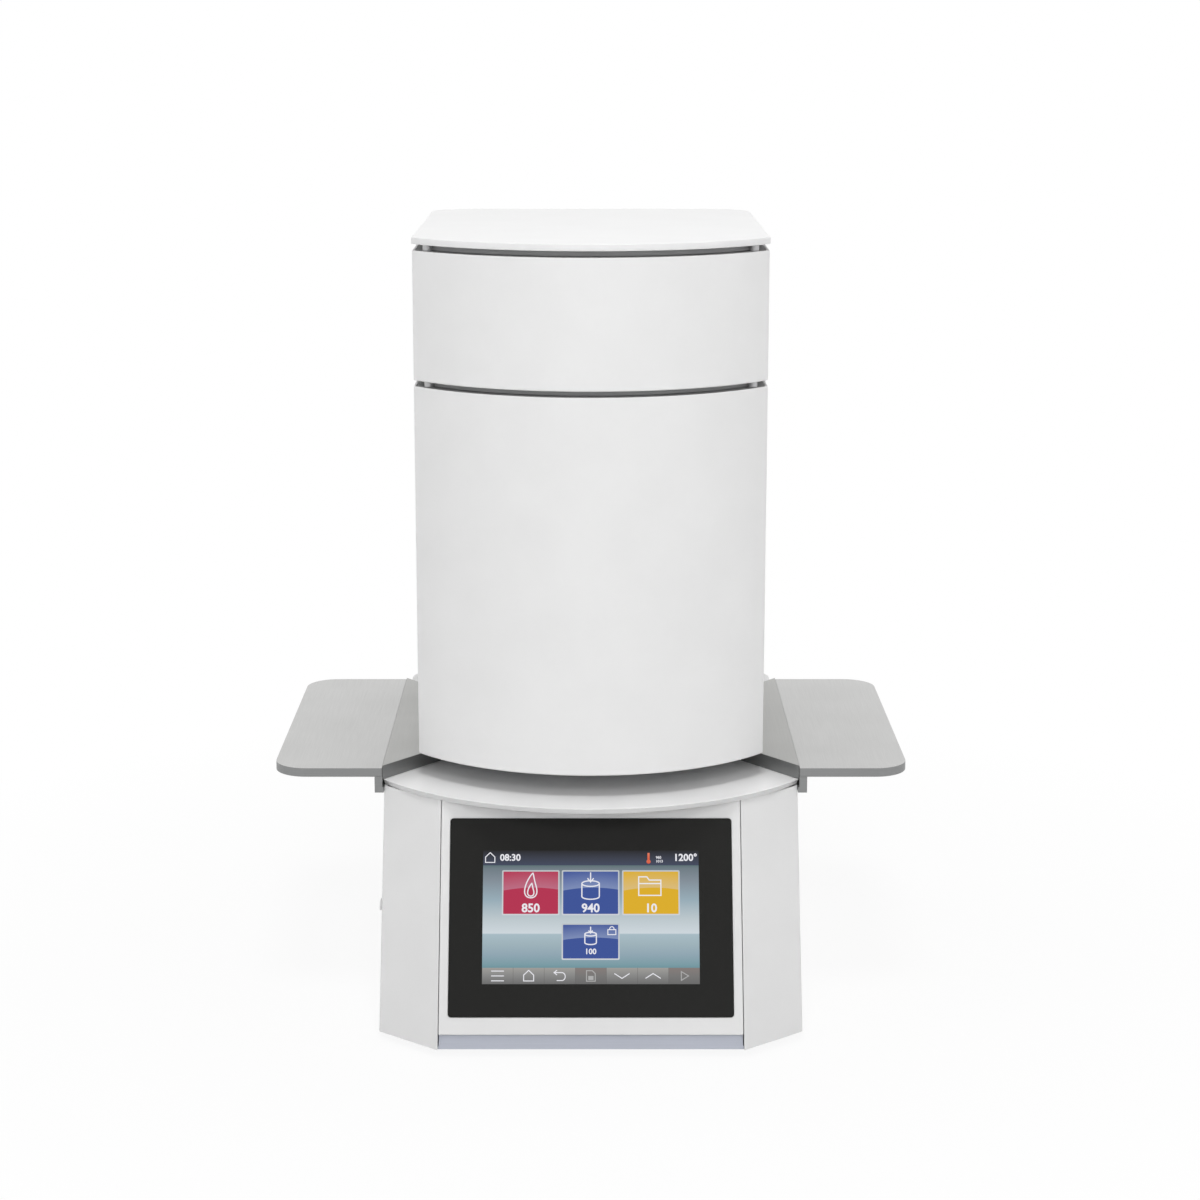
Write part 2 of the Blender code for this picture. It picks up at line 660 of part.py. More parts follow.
def build_supply(base):
    """Power supply and vacuum valve, screwed to the floor."""
    low = FLOOR_TOP + TOUCH
    x, y = POWER_PLACE
    wide, deep = POWER_SIZE
    body = box((x, y, low), (x + wide, y + deep, low + POWER_HEIGHT))
    supply = piece("power_supply", body, ALUMINIUM, base)
    ledge = box((x - OVERRUN, y - OVERRUN, low + POWER_LEDGE_HEIGHT),
                (x + wide + OVERRUN, y + POWER_LEDGE, low + POWER_HEIGHT + OVERRUN))
    cut(supply, ledge)
    x, y = VALVE_PLACE
    wide, deep = VALVE_BODY
    top = low + VALVE_HEIGHT
    block = slab(rounded_rectangle(wide, deep, CONNECTOR_CORNER, CORNER_STEPS, (x, y)), low, top)
    valve = piece("vacuum_valve", block, ALUMINIUM, base)
    join(valve, slab(circle(VALVE_COIL_RADIUS, SHAFT_SIDES, (x, y)), top - SHEET, top + VALVE_COIL_HEIGHT))
    port = turned([(VALVE_PORT_RADIUS, 0), (VALVE_PORT_RADIUS, deep + 2 * VALVE_PORT_REACH)], SHAFT_SIDES)
    join(valve, port, (x, y + deep / 2 + VALVE_PORT_REACH, low + VALVE_HEIGHT / 2), (pi / 2, 0, 0))


def build_top_plate(base):
    """Base plate with a bowed front, and holes for the lift."""
    front = front_curve(PLATE_HALF, PLATE_RADIUS, PLATE_CORNER, 0)
    outline = front + rear_curve(PLATE_HALF, PLATE_BACK, PLATE_CORNER, 0)
    plate = piece("base_top_plate", slab(outline, PLATE_Z, PLATE_TOP), WHITE_COAT, base)
    holes = [hole(COLUMN_RADIUS + RUN, PLATE_Z, PLATE_TOP, centre=(side * COLUMN_SPREAD, LIFT_BACK))
             for side in (-1, 1)]
    holes.append(hole(SPINDLE_RADIUS + RUN, PLATE_Z, PLATE_TOP, centre=(0, LIFT_BACK)))
    cut(plate, merged(holes))


def build_table(base):
    """Sealing ring and fibre plinth that the work stands on."""
    low = PLATE_TOP + TOUCH
    bore = PLINTH_RADIUS + TOUCH
    edge = TABLE_RADIUS - PLINTH_EDGE
    ring = [(bore, low), (TABLE_RADIUS, low), (TABLE_RADIUS, low + TABLE_HEIGHT - PLINTH_EDGE),
            (edge, low + TABLE_HEIGHT), (bore, low + TABLE_HEIGHT)]
    piece("firing_table", turned(ring, CHAMBER_SIDES, closed=True), POLISHED_STEEL, base)
    top = low + PLINTH_HEIGHT
    plinth = [(PLINTH_RADIUS, low), (PLINTH_RADIUS, top - PLINTH_EDGE), (PLINTH_RADIUS - PLINTH_EDGE, top)]
    piece("table_plinth", turned(plinth, CHAMBER_SIDES), FIBRE, base)


def housing_outline(inset):
    """Plan of the rear housing, square in front and round behind."""
    side, front = HOUSING_HALF - inset, HOUSING_FRONT + inset
    return [(-side, front), (side, front)] + rear_curve(HOUSING_HALF, HOUSING_BACK, HOUSING_CORNER, inset)


def build_housing(base):
    """Rear housing with the connector window, open below and, under the base plate, in front."""
    loops = [level(housing_outline(0), FOOT_HEIGHT)]
    for index in range(CORNER_STEPS + 1):
        angle = index * pi / 2 / CORNER_STEPS
        height = HOUSING_TOP - HOUSING_EDGE + HOUSING_EDGE * sin(angle)
        loops.append(level(housing_outline(HOUSING_EDGE * (1 - cos(angle))), height))
    housing = piece("rear_housing", loft(loops), WHITE_COAT, base)
    side = HOUSING_HALF - HOUSING_WALL
    back = rear_curve(HOUSING_HALF, HOUSING_BACK, HOUSING_CORNER, HOUSING_WALL)
    for front, top in ((HOUSING_FRONT + HOUSING_WALL, HOUSING_TOP - HOUSING_WALL),
                       (HOUSING_FRONT - OVERRUN, PLATE_TOP + TOUCH)):
        cut(housing, slab([(-side, front), (side, front)] + back, FOOT_HEIGHT - OVERRUN, top))
    window = rounded_rectangle(WINDOW_WIDTH, WINDOW_HEIGHT, WINDOW_CORNER, CORNER_STEPS)
    place = (0, HOUSING_BACK, REAR_MIDDLE)
    cut(housing, slab(window, -HOUSING_WALL - OVERRUN, OVERRUN), place, (pi / 2, 0, pi))


def build_rear_panel(rear):
    """Connector sheet behind the window."""
    outline = rounded_rectangle(WINDOW_WIDTH + 2 * PANEL_LAP, WINDOW_HEIGHT + 2 * PANEL_LAP, WINDOW_CORNER,
                                CORNER_STEPS)
    panel = piece("rear_panel", slab(outline, PANEL_PLANE - SHEET, PANEL_PLANE), DARK_COAT, rear)
    low, high = PANEL_PLANE - SHEET, PANEL_PLANE
    holes = []
    for place, (wide, tall) in ((INLET_PLACE, INLET_BODY), (SWITCH_PLACE, SWITCH_BODY)):
        gap = rounded_rectangle(wide + 2 * TOUCH, tall + 2 * TOUCH, CONNECTOR_CORNER, CORNER_STEPS, place)
        holes.append(slab(gap, low - OVERRUN, high + OVERRUN))
    holes.append(hole(FUSE_BODY_RADIUS + TOUCH, low, high, centre=FUSE_PLACE))
    holes.append(hole(NIPPLE_BODY_RADIUS + TOUCH, low, high, centre=VACUUM_PLACE))
    holes.append(hole(NIPPLE_BODY_RADIUS + TOUCH, low, high, centre=AIR_PLACE))
    holes.append(hole(FAN_BORE, low, high, PORT_SIDES, FAN_PLACE))
    cut(panel, merged(holes))


def build_inlet(rear):
    """Mains inlet with its open recess."""
    seat = PANEL_PLANE + TOUCH
    face = seat + CONNECTOR_FLANGE

    def ring(size, height):
        return level(rounded_rectangle(size[0], size[1], CONNECTOR_CORNER, CORNER_STEPS), height)

    loops = [ring(INLET_RECESS, face - INLET_RECESS_DEPTH), ring(INLET_RECESS, face),
             ring(INLET_FLANGE, face), ring(INLET_FLANGE, seat), ring(INLET_BODY, seat),
             ring(INLET_BODY, face - INLET_DEPTH)]
    piece("mains_inlet", loft(loops), BLACK_PLASTIC, rear, (*INLET_PLACE, 0))


def build_switch(rear):
    """Switch bezel and its rocker, which tips about the axis across its middle."""
    seat = PANEL_PLANE + TOUCH
    face = seat + CONNECTOR_FLANGE

    def ring(size, height):
        return level(rounded_rectangle(size[0], size[1], CONNECTOR_CORNER, CORNER_STEPS), height)

    back = face - SWITCH_DEPTH
    loops = [ring(SWITCH_BORE, face), ring(SWITCH_FLANGE, face), ring(SWITCH_FLANGE, seat),
             ring(SWITCH_BODY, seat), ring(SWITCH_BODY, back), ring(SWITCH_BORE, back)]
    piece("switch_bezel", loft(loops, closed=True), BLACK_PLASTIC, rear, (*SWITCH_PLACE, 0))
    end, root, half = ROCKER_LENGTH / 2, ROCKER_ROOT_SHARE * ROCKER_LENGTH, ROCKER_WIDTH / 2
    side = [(-root, -ROCKER_DEPTH), (-end, 0), (-end, ROCKER_CREST), (0, ROCKER_DIP), (end, ROCKER_CREST),
            (end, 0), (root, -ROCKER_DEPTH)]
    rocker = loft([[(half * u, y, z) for y, z in side] for u in (-1, 1)])
    piece("power_switch", rocker, BLACK_PLASTIC, rear, (*SWITCH_PLACE, face), (ROCKER_TILT, 0, 0))


def build_fuse(rear):
    """Fuse holder with its screw cap."""
    seat = PANEL_PLANE + TOUCH
    face = seat + CONNECTOR_FLANGE
    cap = face + FUSE_CAP_HEIGHT
    profile = [(FUSE_BODY_RADIUS, seat - FUSE_DEPTH), (FUSE_BODY_RADIUS, seat), (FUSE_FLANGE_RADIUS, seat),
               (FUSE_FLANGE_RADIUS, face), (FUSE_CAP_RADIUS, face), (FUSE_CAP_RADIUS, cap)]
    piece("fuse_holder", turned(profile, SHAFT_SIDES), BLACK_PLASTIC, rear, (*FUSE_PLACE, 0))


def build_nipple(rear, name, place, reach, finish):
    """Hose nipple with a nut, barbs and a narrow bore."""
    seat = PANEL_PLANE + TOUCH
    nut = seat + NIPPLE_NUT_HEIGHT
    profile = [(NIPPLE_BODY_RADIUS, seat - NIPPLE_DEPTH), (NIPPLE_BODY_RADIUS, seat),
               (NIPPLE_NUT_RADIUS, seat), (NIPPLE_NUT_RADIUS, nut), (NIPPLE_RADIUS, nut)]
    start = reach - NIPPLE_BARBS * NIPPLE_BARB_PITCH
    for barb in range(NIPPLE_BARBS):
        low = start + barb * NIPPLE_BARB_PITCH
        profile += [(NIPPLE_RADIUS, low), (NIPPLE_BARB_RADIUS, low), (NIPPLE_RADIUS, low + NIPPLE_BARB_PITCH)]
    profile += [(NIPPLE_BORE, reach), (NIPPLE_BORE, reach - NIPPLE_BORE_DEPTH)]
    piece(name, turned(profile, SHAFT_SIDES), finish, rear, (*place, 0))


def build_fan(rear):
    """Fan frame with its spider, the rotor on it and the guard outside."""
    top = PANEL_PLANE - SHEET - TOUCH
    low = top - FAN_DEPTH
    square = rounded_rectangle(FAN_SIDE, FAN_SIDE, FAN_CORNER, FRAME_STEPS)
    bore = circle(FAN_BORE, PORT_SIDES)
    loops = [level(square, low), level(square, top), level(bore, top), level(bore, low)]
    place = (*FAN_PLACE, 0)
    frame = piece("fan_frame", loft(loops, closed=True), BLACK_PLASTIC, rear, place)
    join(frame, slab(circle(FAN_HUB_RADIUS, PORT_SIDES), low, low + FAN_SPIDER), place)
    half, reach = FAN_ARM_WIDTH / 2, FAN_BORE + FAN_ARM_BITE
    for arm in range(FAN_ARMS):
        bar = box((0, -half, low), (reach, half, low + FAN_SPIDER))
        join(frame, bar, place, (0, 0, 2 * pi * arm / FAN_ARMS + FAN_ARM_START))
    foot = low + FAN_SPIDER + TOUCH
    head = top - GRILLE_THICKNESS
    hub = slab(circle(FAN_HUB_RADIUS, PORT_SIDES), foot, head)
    rotor = piece("fan_rotor", hub, BLACK_PLASTIC, rear, place)
    middle = (foot + head) / 2
    half = FAN_BLADE_CHORD / 2
    for blade in range(FAN_BLADES):
        vane = box((FAN_BLADE_ROOT, -half, -FAN_BLADE_THICKNESS / 2),
                   (FAN_BLADE_TIP, half, FAN_BLADE_THICKNESS / 2))
        bmesh.ops.rotate(vane, verts=vane.verts, matrix=Matrix.Rotation(FAN_BLADE_PITCH, 3, "X"))
        bmesh.ops.translate(vane, verts=vane.verts, vec=(0, 0, middle))
        join(rotor, vane, place, (0, 0, 2 * pi * blade / FAN_BLADES))
    build_guard(rear, place)


def build_guard(rear, place):
    """Flat finger guard of rings and two crossing bars."""
    low = PANEL_PLANE + TOUCH
    high = low + GRILLE_THICKNESS
    outer = FAN_SIDE / 2
    half = GRILLE_WIRE / 2
    bar = box((-outer, -GRILLE_WIRE, low), (outer, GRILLE_WIRE, high))
    guard = piece("fan_grille", bar, POLISHED_STEEL, rear, place, (0, 0, pi / 4))
    join(guard, box((-GRILLE_WIRE, -outer, low), (GRILLE_WIRE, outer, high)), place, (0, 0, pi / 4))
    for share in GRILLE_RING_SHARES:
        radius = share * outer
        ring = [(radius - half, low), (radius + half, low), (radius + half, high), (radius - half, high)]
        join(guard, turned(ring, PORT_SIDES, closed=True), place)


def build_lift(base):
    """Bracket, motor and columns that stand on the floor pan."""
    outer, inner = BRACKET_HALF, BRACKET_HALF - BRACKET_LEG
    low, ceiling, top = BRACKET_Z, BRACKET_CEILING, BRACKET_HEIGHT_Z
    front, back = LIFT_BACK - BRACKET_DEPTH / 2, LIFT_BACK + BRACKET_DEPTH / 2
    portal = [(-outer, low), (-outer, top), (outer, top), (outer, low), (inner, low), (inner, ceiling),
              (-inner, ceiling), (-inner, low)]
    body = loft([[(x, y, z) for x, z in portal] for y in (front, back)])
    bracket = piece("lift_bracket", body, ALUMINIUM, base)
    holes = [hole(COLUMN_RADIUS + TOUCH, ceiling, top, centre=(side * COLUMN_SPREAD, LIFT_BACK))
             for side in (-1, 1)]
    holes.append(hole(BOSS_RADIUS + TOUCH, ceiling, top, PORT_SIDES, (0, LIFT_BACK)))
    cut(bracket, merged(holes))
    square = rounded_rectangle(MOTOR_SIDE, MOTOR_SIDE, MOTOR_CORNER, FRAME_STEPS)
    high = low + MOTOR_HEIGHT
    boss = high + BOSS_HEIGHT
    rim, bore = circle(BOSS_RADIUS, PORT_SIDES), circle(SHAFT_RADIUS + TOUCH, PORT_SIDES)
    loops = [level(square, low), level(square, high), level(rim, high), level(rim, boss), level(bore, boss),
             level(bore, boss - SHAFT_DEPTH)]
    piece("lift_motor", loft(loops), DARK_COAT, base, (0, LIFT_BACK, 0))
    for name, side in (("guide_column_left", -1), ("guide_column_right", 1)):
        column = [(COLUMN_RADIUS, ceiling), (COLUMN_RADIUS, COLUMN_TOP - SHEET),
                  (COLUMN_RADIUS - SHEET, COLUMN_TOP)]
        place = (side * COLUMN_SPREAD, LIFT_BACK, 0)
        piece(name, turned(column, SHAFT_SIDES), POLISHED_STEEL, base, place)


def build_spindle(base):
    """Shaft coupler and lead spindle, which turn together."""
    boss = BRACKET_Z + MOTOR_HEIGHT + BOSS_HEIGHT
    low = boss + COUPLER_LIFT
    high = low + COUPLER_HEIGHT
    socket = high - SOCKET_DEPTH
    coupler = [(SHAFT_RADIUS, boss - SHAFT_DEPTH + TOUCH), (SHAFT_RADIUS, low), (COUPLER_RADIUS, low),
               (COUPLER_RADIUS, high), (SPINDLE_RADIUS + TOUCH, high), (SPINDLE_RADIUS + TOUCH, socket)]
    piece("shaft_coupler", turned(coupler, SHAFT_SIDES), ALUMINIUM, base, (0, LIFT_BACK, 0))
    spindle = [(SPINDLE_RADIUS, socket + TOUCH), (SPINDLE_RADIUS, SPINDLE_TOP - SHEET),
               (SPINDLE_RADIUS - SHEET, SPINDLE_TOP)]
    piece("lift_spindle", turned(spindle, SHAFT_SIDES), POLISHED_STEEL, base, (0, LIFT_BACK, 0))


def build_feet(base):
    """Four rubber feet under the floor pan."""
    profile = [(FOOT_RADIUS, 0), (FOOT_TOP_RADIUS, SHEET), (FOOT_TOP_RADIUS, FOOT_HEIGHT - TOUCH)]
    for end, (x, y) in (("front", FOOT_FRONT_PLACE), ("rear", FOOT_REAR_PLACE)):
        for name, side in (("left", -1), ("right", 1)):
            foot = turned(profile, SHAFT_SIDES)
            piece("foot_" + end + "_" + name, foot, BLACK_RUBBER, base, (side * x, y, 0))


def build_tray(base, name, side):
    """Folded steel tray with its rail, whose hook reaches under the edge of the base plate."""
    inner = PLATE_HALF + TOUCH
    top = PLATE_TOP + TOUCH + MOUNT_HEIGHT - TRAY_TOP_DROP
    low = top - TRAY_RIM

    def outline(inset):
        corner = TRAY_CORNER - inset
        near, far = inner + inset, TRAY_OUTER - inset
        front, back = -TRAY_FRONT + inset, TRAY_BACK - inset
        points = [(near, front)] + arc((far - corner, front + corner), corner, -pi / 2, 0, 2 * CORNER_STEPS)
        points += arc((far - corner, back - corner), corner, 0, pi / 2, 2 * CORNER_STEPS) + [(near, back)]
        return [(side * x, y) for x, y in points]

    loops = [level(outline(TRAY_SHEET), top - TRAY_SHEET), level(outline(TRAY_SHEET), low),
             level(outline(0), low), level(outline(0), top)]
    tray = piece(name, loft(loops), BRUSHED_STEEL, base)
    outer, hook, foot = inner + TRAY_RAIL_WIDTH, BASE_HALF + TOUCH, low - TRAY_RAIL_DROP
    section = [(outer, top - TRAY_SHEET / 2), (outer, foot), (hook, foot), (hook, PLATE_Z - TOUCH),
               (inner, PLATE_Z - TOUCH), (inner, top - TRAY_SHEET / 2)]
    join(tray, loft([[(side * x, y, z) for x, z in section] for y in (-TRAY_FRONT, TRAY_BACK)]))


def build_tray_mount(base, name, side):
    """Slab that lies on the base plate and ends in two slanted edges."""
    low = PLATE_TOP + TOUCH
    run = (PLATE_HALF - MOUNT_INNER) * tan(MOUNT_SLOPE)
    outline = [(PLATE_HALF, -MOUNT_FRONT), (PLATE_HALF, MOUNT_BACK), (MOUNT_INNER, MOUNT_BACK - run),
               (MOUNT_INNER, run - MOUNT_FRONT)]
    outline = [(side * x, y) for x, y in outline]
    piece(name, slab(outline, low, low + MOUNT_HEIGHT), BRUSHED_STEEL, base)


def build_cap(base):
    """Rubber plug of the service port, on the left side cover."""
    def ring(draft, reach):
        outline = rounded_rectangle(CAP_LENGTH - 2 * draft, CAP_HEIGHT - 2 * draft, CONNECTOR_CORNER - draft,
                                    CORNER_STEPS)
        return [(-BASE_HALF - reach, y - CAP_FRONT, z + CAP_RISE) for y, z in outline]

    loops = [ring(0, TOUCH), ring(0, CAP_REACH - CAP_DRAFT), ring(CAP_DRAFT, CAP_REACH)]
    piece("service_port_cap", loft(loops), WHITE_COAT, base)


# Head

def build_shells(head):
    """Hood, press band, rear cover and lid."""
    hood = [(0, 0), (0, HOOD_HEIGHT), (SHEET, HOOD_HEIGHT), (SHEET, SHEET), (HOOD_LIP, SHEET), (HOOD_LIP, 0)]
    piece("hood_shell", folded(hood, head_wrap), WHITE_COAT, head)
    band = [(0, BAND_Z), (0, BAND_TOP), (SHEET, BAND_TOP), (SHEET, BAND_Z + SHEET),
            (BAND_LIP, BAND_Z + SHEET), (BAND_LIP, BAND_Z)]
    piece("press_band_shell", folded(band, head_wrap), WHITE_COAT, head)
    back = [(0, 0), (0, BAND_TOP), (SHEET, BAND_TOP), (SHEET, 0)]
    cover = piece("head_rear_cover", folded(back, head_rear), WHITE_COAT, head)
    vents = []
    for start in (VENT_LOW, VENT_HIGH):
        for row in range(VENT_COUNT):
            low = start + row * VENT_PITCH
            vents.append(box((-VENT_WIDTH / 2, HOOD_BACK - SHEET - OVERRUN, low),
                             (VENT_WIDTH / 2, HOOD_BACK + OVERRUN, low + VENT_HEIGHT)))
    cut(cover, merged(vents))
    top = LID_Z + LID_THICKNESS
    loops = [level(head_outline(-LID_OVERHANG), LID_Z), level(head_outline(-LID_OVERHANG), top - LID_EDGE),
             level(head_outline(LID_EDGE - LID_OVERHANG), top)]
    piece("top_lid", loft(loops), WHITE_COAT, head)


def build_decks(head):
    """Dark decks flush with the shell edges, and the set back plates that fill the two gaps."""
    inset = SHEET + TOUCH
    for name, top in (("hood_deck", HOOD_HEIGHT), ("band_deck", BAND_TOP)):
        deck = piece(name, slab(head_outline(inset), top - DECK_SHEET, top), DARK_COAT, head)
        if name == "hood_deck":
            cut(deck, hole(ROD_HOLE, top - DECK_SHEET, top))
    for name, low, gap in (("hood_spacer", HOOD_HEIGHT, BAND_GAP), ("band_spacer", BAND_TOP, LID_GAP)):
        bottom, top = low + TOUCH, low + gap - TOUCH
        outline = head_outline(SPACER_INSET, SPACER_CORNER + SPACER_INSET)
        spacer = piece(name, slab(outline, bottom, top), DARK_COAT, head)
        if name == "hood_spacer":
            cut(spacer, hole(ROD_HOLE, bottom, top))


def build_carrier(head):
    """Plate that carries the chamber and runs on the lift."""
    plate = piece("carrier_plate", slab(head_outline(SHEET + TOUCH), CARRIER_Z, CARRIER_TOP), ALUMINIUM, head)
    holes = [hole(MUFFLE_BORE + RUN, CARRIER_Z, CARRIER_TOP, CHAMBER_SIDES)]
    for x, radius in ((-COLUMN_SPREAD, COLUMN_RADIUS), (0, SPINDLE_RADIUS), (COLUMN_SPREAD, COLUMN_RADIUS)):
        holes.append(hole(radius + COLUMN_CLEARANCE, CARRIER_Z, CARRIER_TOP, centre=(x, LIFT_BACK)))
    cut(plate, merged(holes))


def bush(bore, radius, flange, length):
    """Flanged bush that stands on the carrier plate."""
    foot = CHAMBER_Z
    profile = [(bore, foot), (flange, foot), (flange, foot + FLANGE_HEIGHT), (radius, foot + FLANGE_HEIGHT),
               (radius, foot + length), (bore, foot + length)]
    return turned(profile, SHAFT_SIDES, closed=True)


def build_bushes(head):
    """Guide bushes on the columns and the nut on the spindle."""
    for name, side in (("guide_bush_left", -1), ("guide_bush_right", 1)):
        body = bush(COLUMN_RADIUS + TOUCH, BUSH_RADIUS, BUSH_FLANGE, BUSH_LENGTH)
        piece(name, body, BRONZE, head, (side * COLUMN_SPREAD, LIFT_BACK, 0))
    nut = bush(SPINDLE_RADIUS + TOUCH, NUT_RADIUS, NUT_FLANGE, NUT_LENGTH)
    piece("spindle_nut", nut, BRONZE, head, (0, LIFT_BACK, 0))


def build_chamber(head):
    """Steel can, fibre insulation and quartz muffle, open at the bottom."""
    low = CHAMBER_Z
    inside = CHAMBER_RADIUS - CAN_WALL
    can = [(inside, low), (CHAMBER_RADIUS, low), (CHAMBER_RADIUS, CAN_TOP), (PLUNGER_HOLE, CAN_TOP),
           (PLUNGER_HOLE, CAN_TOP - CAN_WALL), (inside, CAN_TOP - CAN_WALL)]
    shell = piece("chamber_can", turned(can, CHAMBER_SIDES, closed=True), BRUSHED_STEEL, head)
    fibre = [(INSULATION_BORE, low), (INSULATION_RADIUS, low), (INSULATION_RADIUS, INSULATION_TOP),
             (PLUNGER_HOLE, INSULATION_TOP), (PLUNGER_HOLE, CHAMBER_CEILING),
             (INSULATION_BORE, CHAMBER_CEILING)]
    lining = piece("chamber_insulation", turned(fibre, CHAMBER_SIDES, closed=True), FIBRE, head)
    probe = (0, PROBE_BACK)
    cut(shell, hole(PROBE_RADIUS + TOUCH, CAN_TOP - CAN_WALL, CAN_TOP, centre=probe))
    cut(lining, hole(PROBE_RADIUS + TOUCH, CHAMBER_CEILING, INSULATION_TOP, centre=probe))
    outer, top = MUFFLE_BORE + MUFFLE_WALL, low + MUFFLE_HEIGHT
    tube = [(MUFFLE_BORE, low), (outer, low), (outer, top), (MUFFLE_BORE, top)]
    piece("heating_muffle", turned(tube, CHAMBER_SIDES, closed=True), QUARTZ, head)


def coil_points():
    """Helix of the heating wire, between the muffle and the fibre."""
    steps = COIL_TURNS * COIL_POINTS_PER_TURN
    rise = MUFFLE_HEIGHT - 2 * COIL_END
    points = []
    for step in range(steps + 1):
        turn = 2 * pi * step / COIL_POINTS_PER_TURN
        height = CHAMBER_Z + COIL_END + rise * step / steps
        points.append((COIL_RADIUS * cos(turn), COIL_RADIUS * sin(turn), height))
    pitch = rise / COIL_TURNS
    print("heating coil: least gap between turns", round(pitch - 2 * COIL_WIRE, 5))
    return points


def build_coil(head):
    """Heating wire as one unbroken tube."""
    curve = bpy.data.curves.new("heating_coil", "CURVE")
    curve.dimensions = "3D"
    curve.bevel_depth = COIL_WIRE
    curve.bevel_resolution = 1
    curve.use_fill_caps = True
    points = coil_points()
    spline = curve.splines.new("POLY")
    spline.points.add(len(points) - 1)
    for target, point in zip(spline.points, points):
        target.co = (*point, 1)
    coil = bpy.data.objects.new("heating_coil", curve)
    coil.parent = head
    curve.materials.append(principled("heating_coil", HOT_WIRE))
    bpy.context.scene.collection.objects.link(coil)


def build_probe(head):
    """Thermocouple through the top of the chamber."""
    seat = CAN_TOP + TOUCH
    profile = [(PROBE_RADIUS, PROBE_TIP), (PROBE_RADIUS, seat), (PROBE_HEAD_RADIUS, seat),
               (PROBE_HEAD_RADIUS, seat + PROBE_HEAD_HEIGHT)]
    piece("thermocouple", turned(profile, SHAFT_SIDES), ALUMINA, head, (0, PROBE_BACK, 0))


def build_seal(head):
    """Silicone ring between the table and the carrier plate."""
    middle = CARRIER_Z - TOUCH - SEAL_SECTION
    loops = circle(SEAL_SECTION, SEAL_SIDES, (SEAL_RADIUS, middle))
    piece("chamber_seal", turned(loops, CHAMBER_SIDES, closed=True), SEAL_RED, head)


def build_press(head, ram):
    """Press cylinder on the hood spacer, and the piston and plunger that slide in it."""
    low = BAND_Z
    high = low + CYLINDER_HEIGHT
    opening = ROD_RADIUS + TOUCH
    profile = [(CYLINDER_BORE, high - CYLINDER_END), (CYLINDER_BORE, low + CYLINDER_END),
               (opening, low + CYLINDER_END), (opening, low), (CYLINDER_FLANGE, low),
               (CYLINDER_FLANGE, low + FLANGE_HEIGHT), (CYLINDER_RADIUS, low + FLANGE_HEIGHT),
               (CYLINDER_RADIUS, high)]
    piece("press_cylinder", turned(profile, PORT_SIDES), ALUMINIUM, head)
    top = high - CYLINDER_END - PISTON_TOP_GAP
    chuck = CHUCK_BOTTOM + CHUCK_HEIGHT
    piston = [(CYLINDER_BORE - TOUCH, top), (CYLINDER_BORE - TOUCH, top - PISTON_HEIGHT),
              (ROD_RADIUS, top - PISTON_HEIGHT), (ROD_RADIUS, chuck), (CHUCK_RADIUS, chuck),
              (CHUCK_RADIUS, CHUCK_BOTTOM), (PLUNGER_RADIUS + TOUCH, CHUCK_BOTTOM),
              (PLUNGER_RADIUS + TOUCH, CHUCK_BOTTOM + CHUCK_DEPTH)]
    piece("press_piston", turned(piston, PORT_SIDES), POLISHED_STEEL, ram)
    plunger = [(PLUNGER_RADIUS - PLUNGER_TIP_EDGE, PLUNGER_TIP),
               (PLUNGER_RADIUS, PLUNGER_TIP + PLUNGER_TIP_EDGE),
               (PLUNGER_RADIUS, CHUCK_BOTTOM + CHUCK_DEPTH - TOUCH)]
    piece("press_plunger", turned(plunger, PORT_SIDES), ALUMINA, ram)


def build_base():
    """Everything that stands still, with the turning spindle, fan and switch in it."""
    base = empty("base_frame", (0, CHAMBER_Y, 0))
    panel = empty("panel_frame", (0, -FRONT_REACH, FOOT_HEIGHT), (pi / 2 - PANEL_LEAN, 0, 0), base)
    rear = empty("rear_frame", (0, HOUSING_BACK, REAR_MIDDLE), (pi / 2, 0, pi), base)
    build_chassis(base)
    build_side_cover(base, "left_side_cover", -1)
    build_side_cover(base, "right_side_cover", 1)
    build_front_panel(panel)
    build_glass(panel)
    build_screen(panel)
    build_board(panel)
    build_supply(base)
    build_top_plate(base)
    build_table(base)
    build_housing(base)
    build_rear_panel(rear)
    build_inlet(rear)
    build_switch(rear)
    build_fuse(rear)
    build_nipple(rear, "vacuum_port", VACUUM_PLACE, PORT_REACH, BRASS)
    build_nipple(rear, "air_port", AIR_PLACE, PORT_REACH - AIR_SHORTER, POLISHED_STEEL)
    build_fan(rear)
    build_lift(base)
    build_spindle(base)
    build_feet(base)
    for name, side in (("left", -1), ("right", 1)):
        build_tray(base, name + "_tray", side)
        build_tray_mount(base, name + "_tray_mount", side)
    build_cap(base)


def build_head():
    """Everything that rises with the lift, with the press ram in it."""
    head = empty("head_frame", (0, CHAMBER_Y, HOOD_Z))
    ram = empty("ram_frame", (0, 0, 0), parent=head)
    build_shells(head)
    build_decks(head)
    build_carrier(head)
    build_bushes(head)
    build_chamber(head)
    build_coil(head)
    build_probe(head)
    build_seal(head)
    build_press(head, ram)


def main():
    """Empty the scene and build the furnace."""
    for obj in list(bpy.data.objects):
        bpy.data.objects.remove(obj, do_unlink=True)
    build_base()
    build_head()


main()
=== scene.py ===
"""Looks of a press furnace for a dental laboratory.

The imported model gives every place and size. Each section below finishes one
piece, or one group of like pieces, in the order in which the furnace is put
together, and the studio comes last. Units are metres, +Z is up, -Y is the
front, and X is 0 on the middle line.
"""

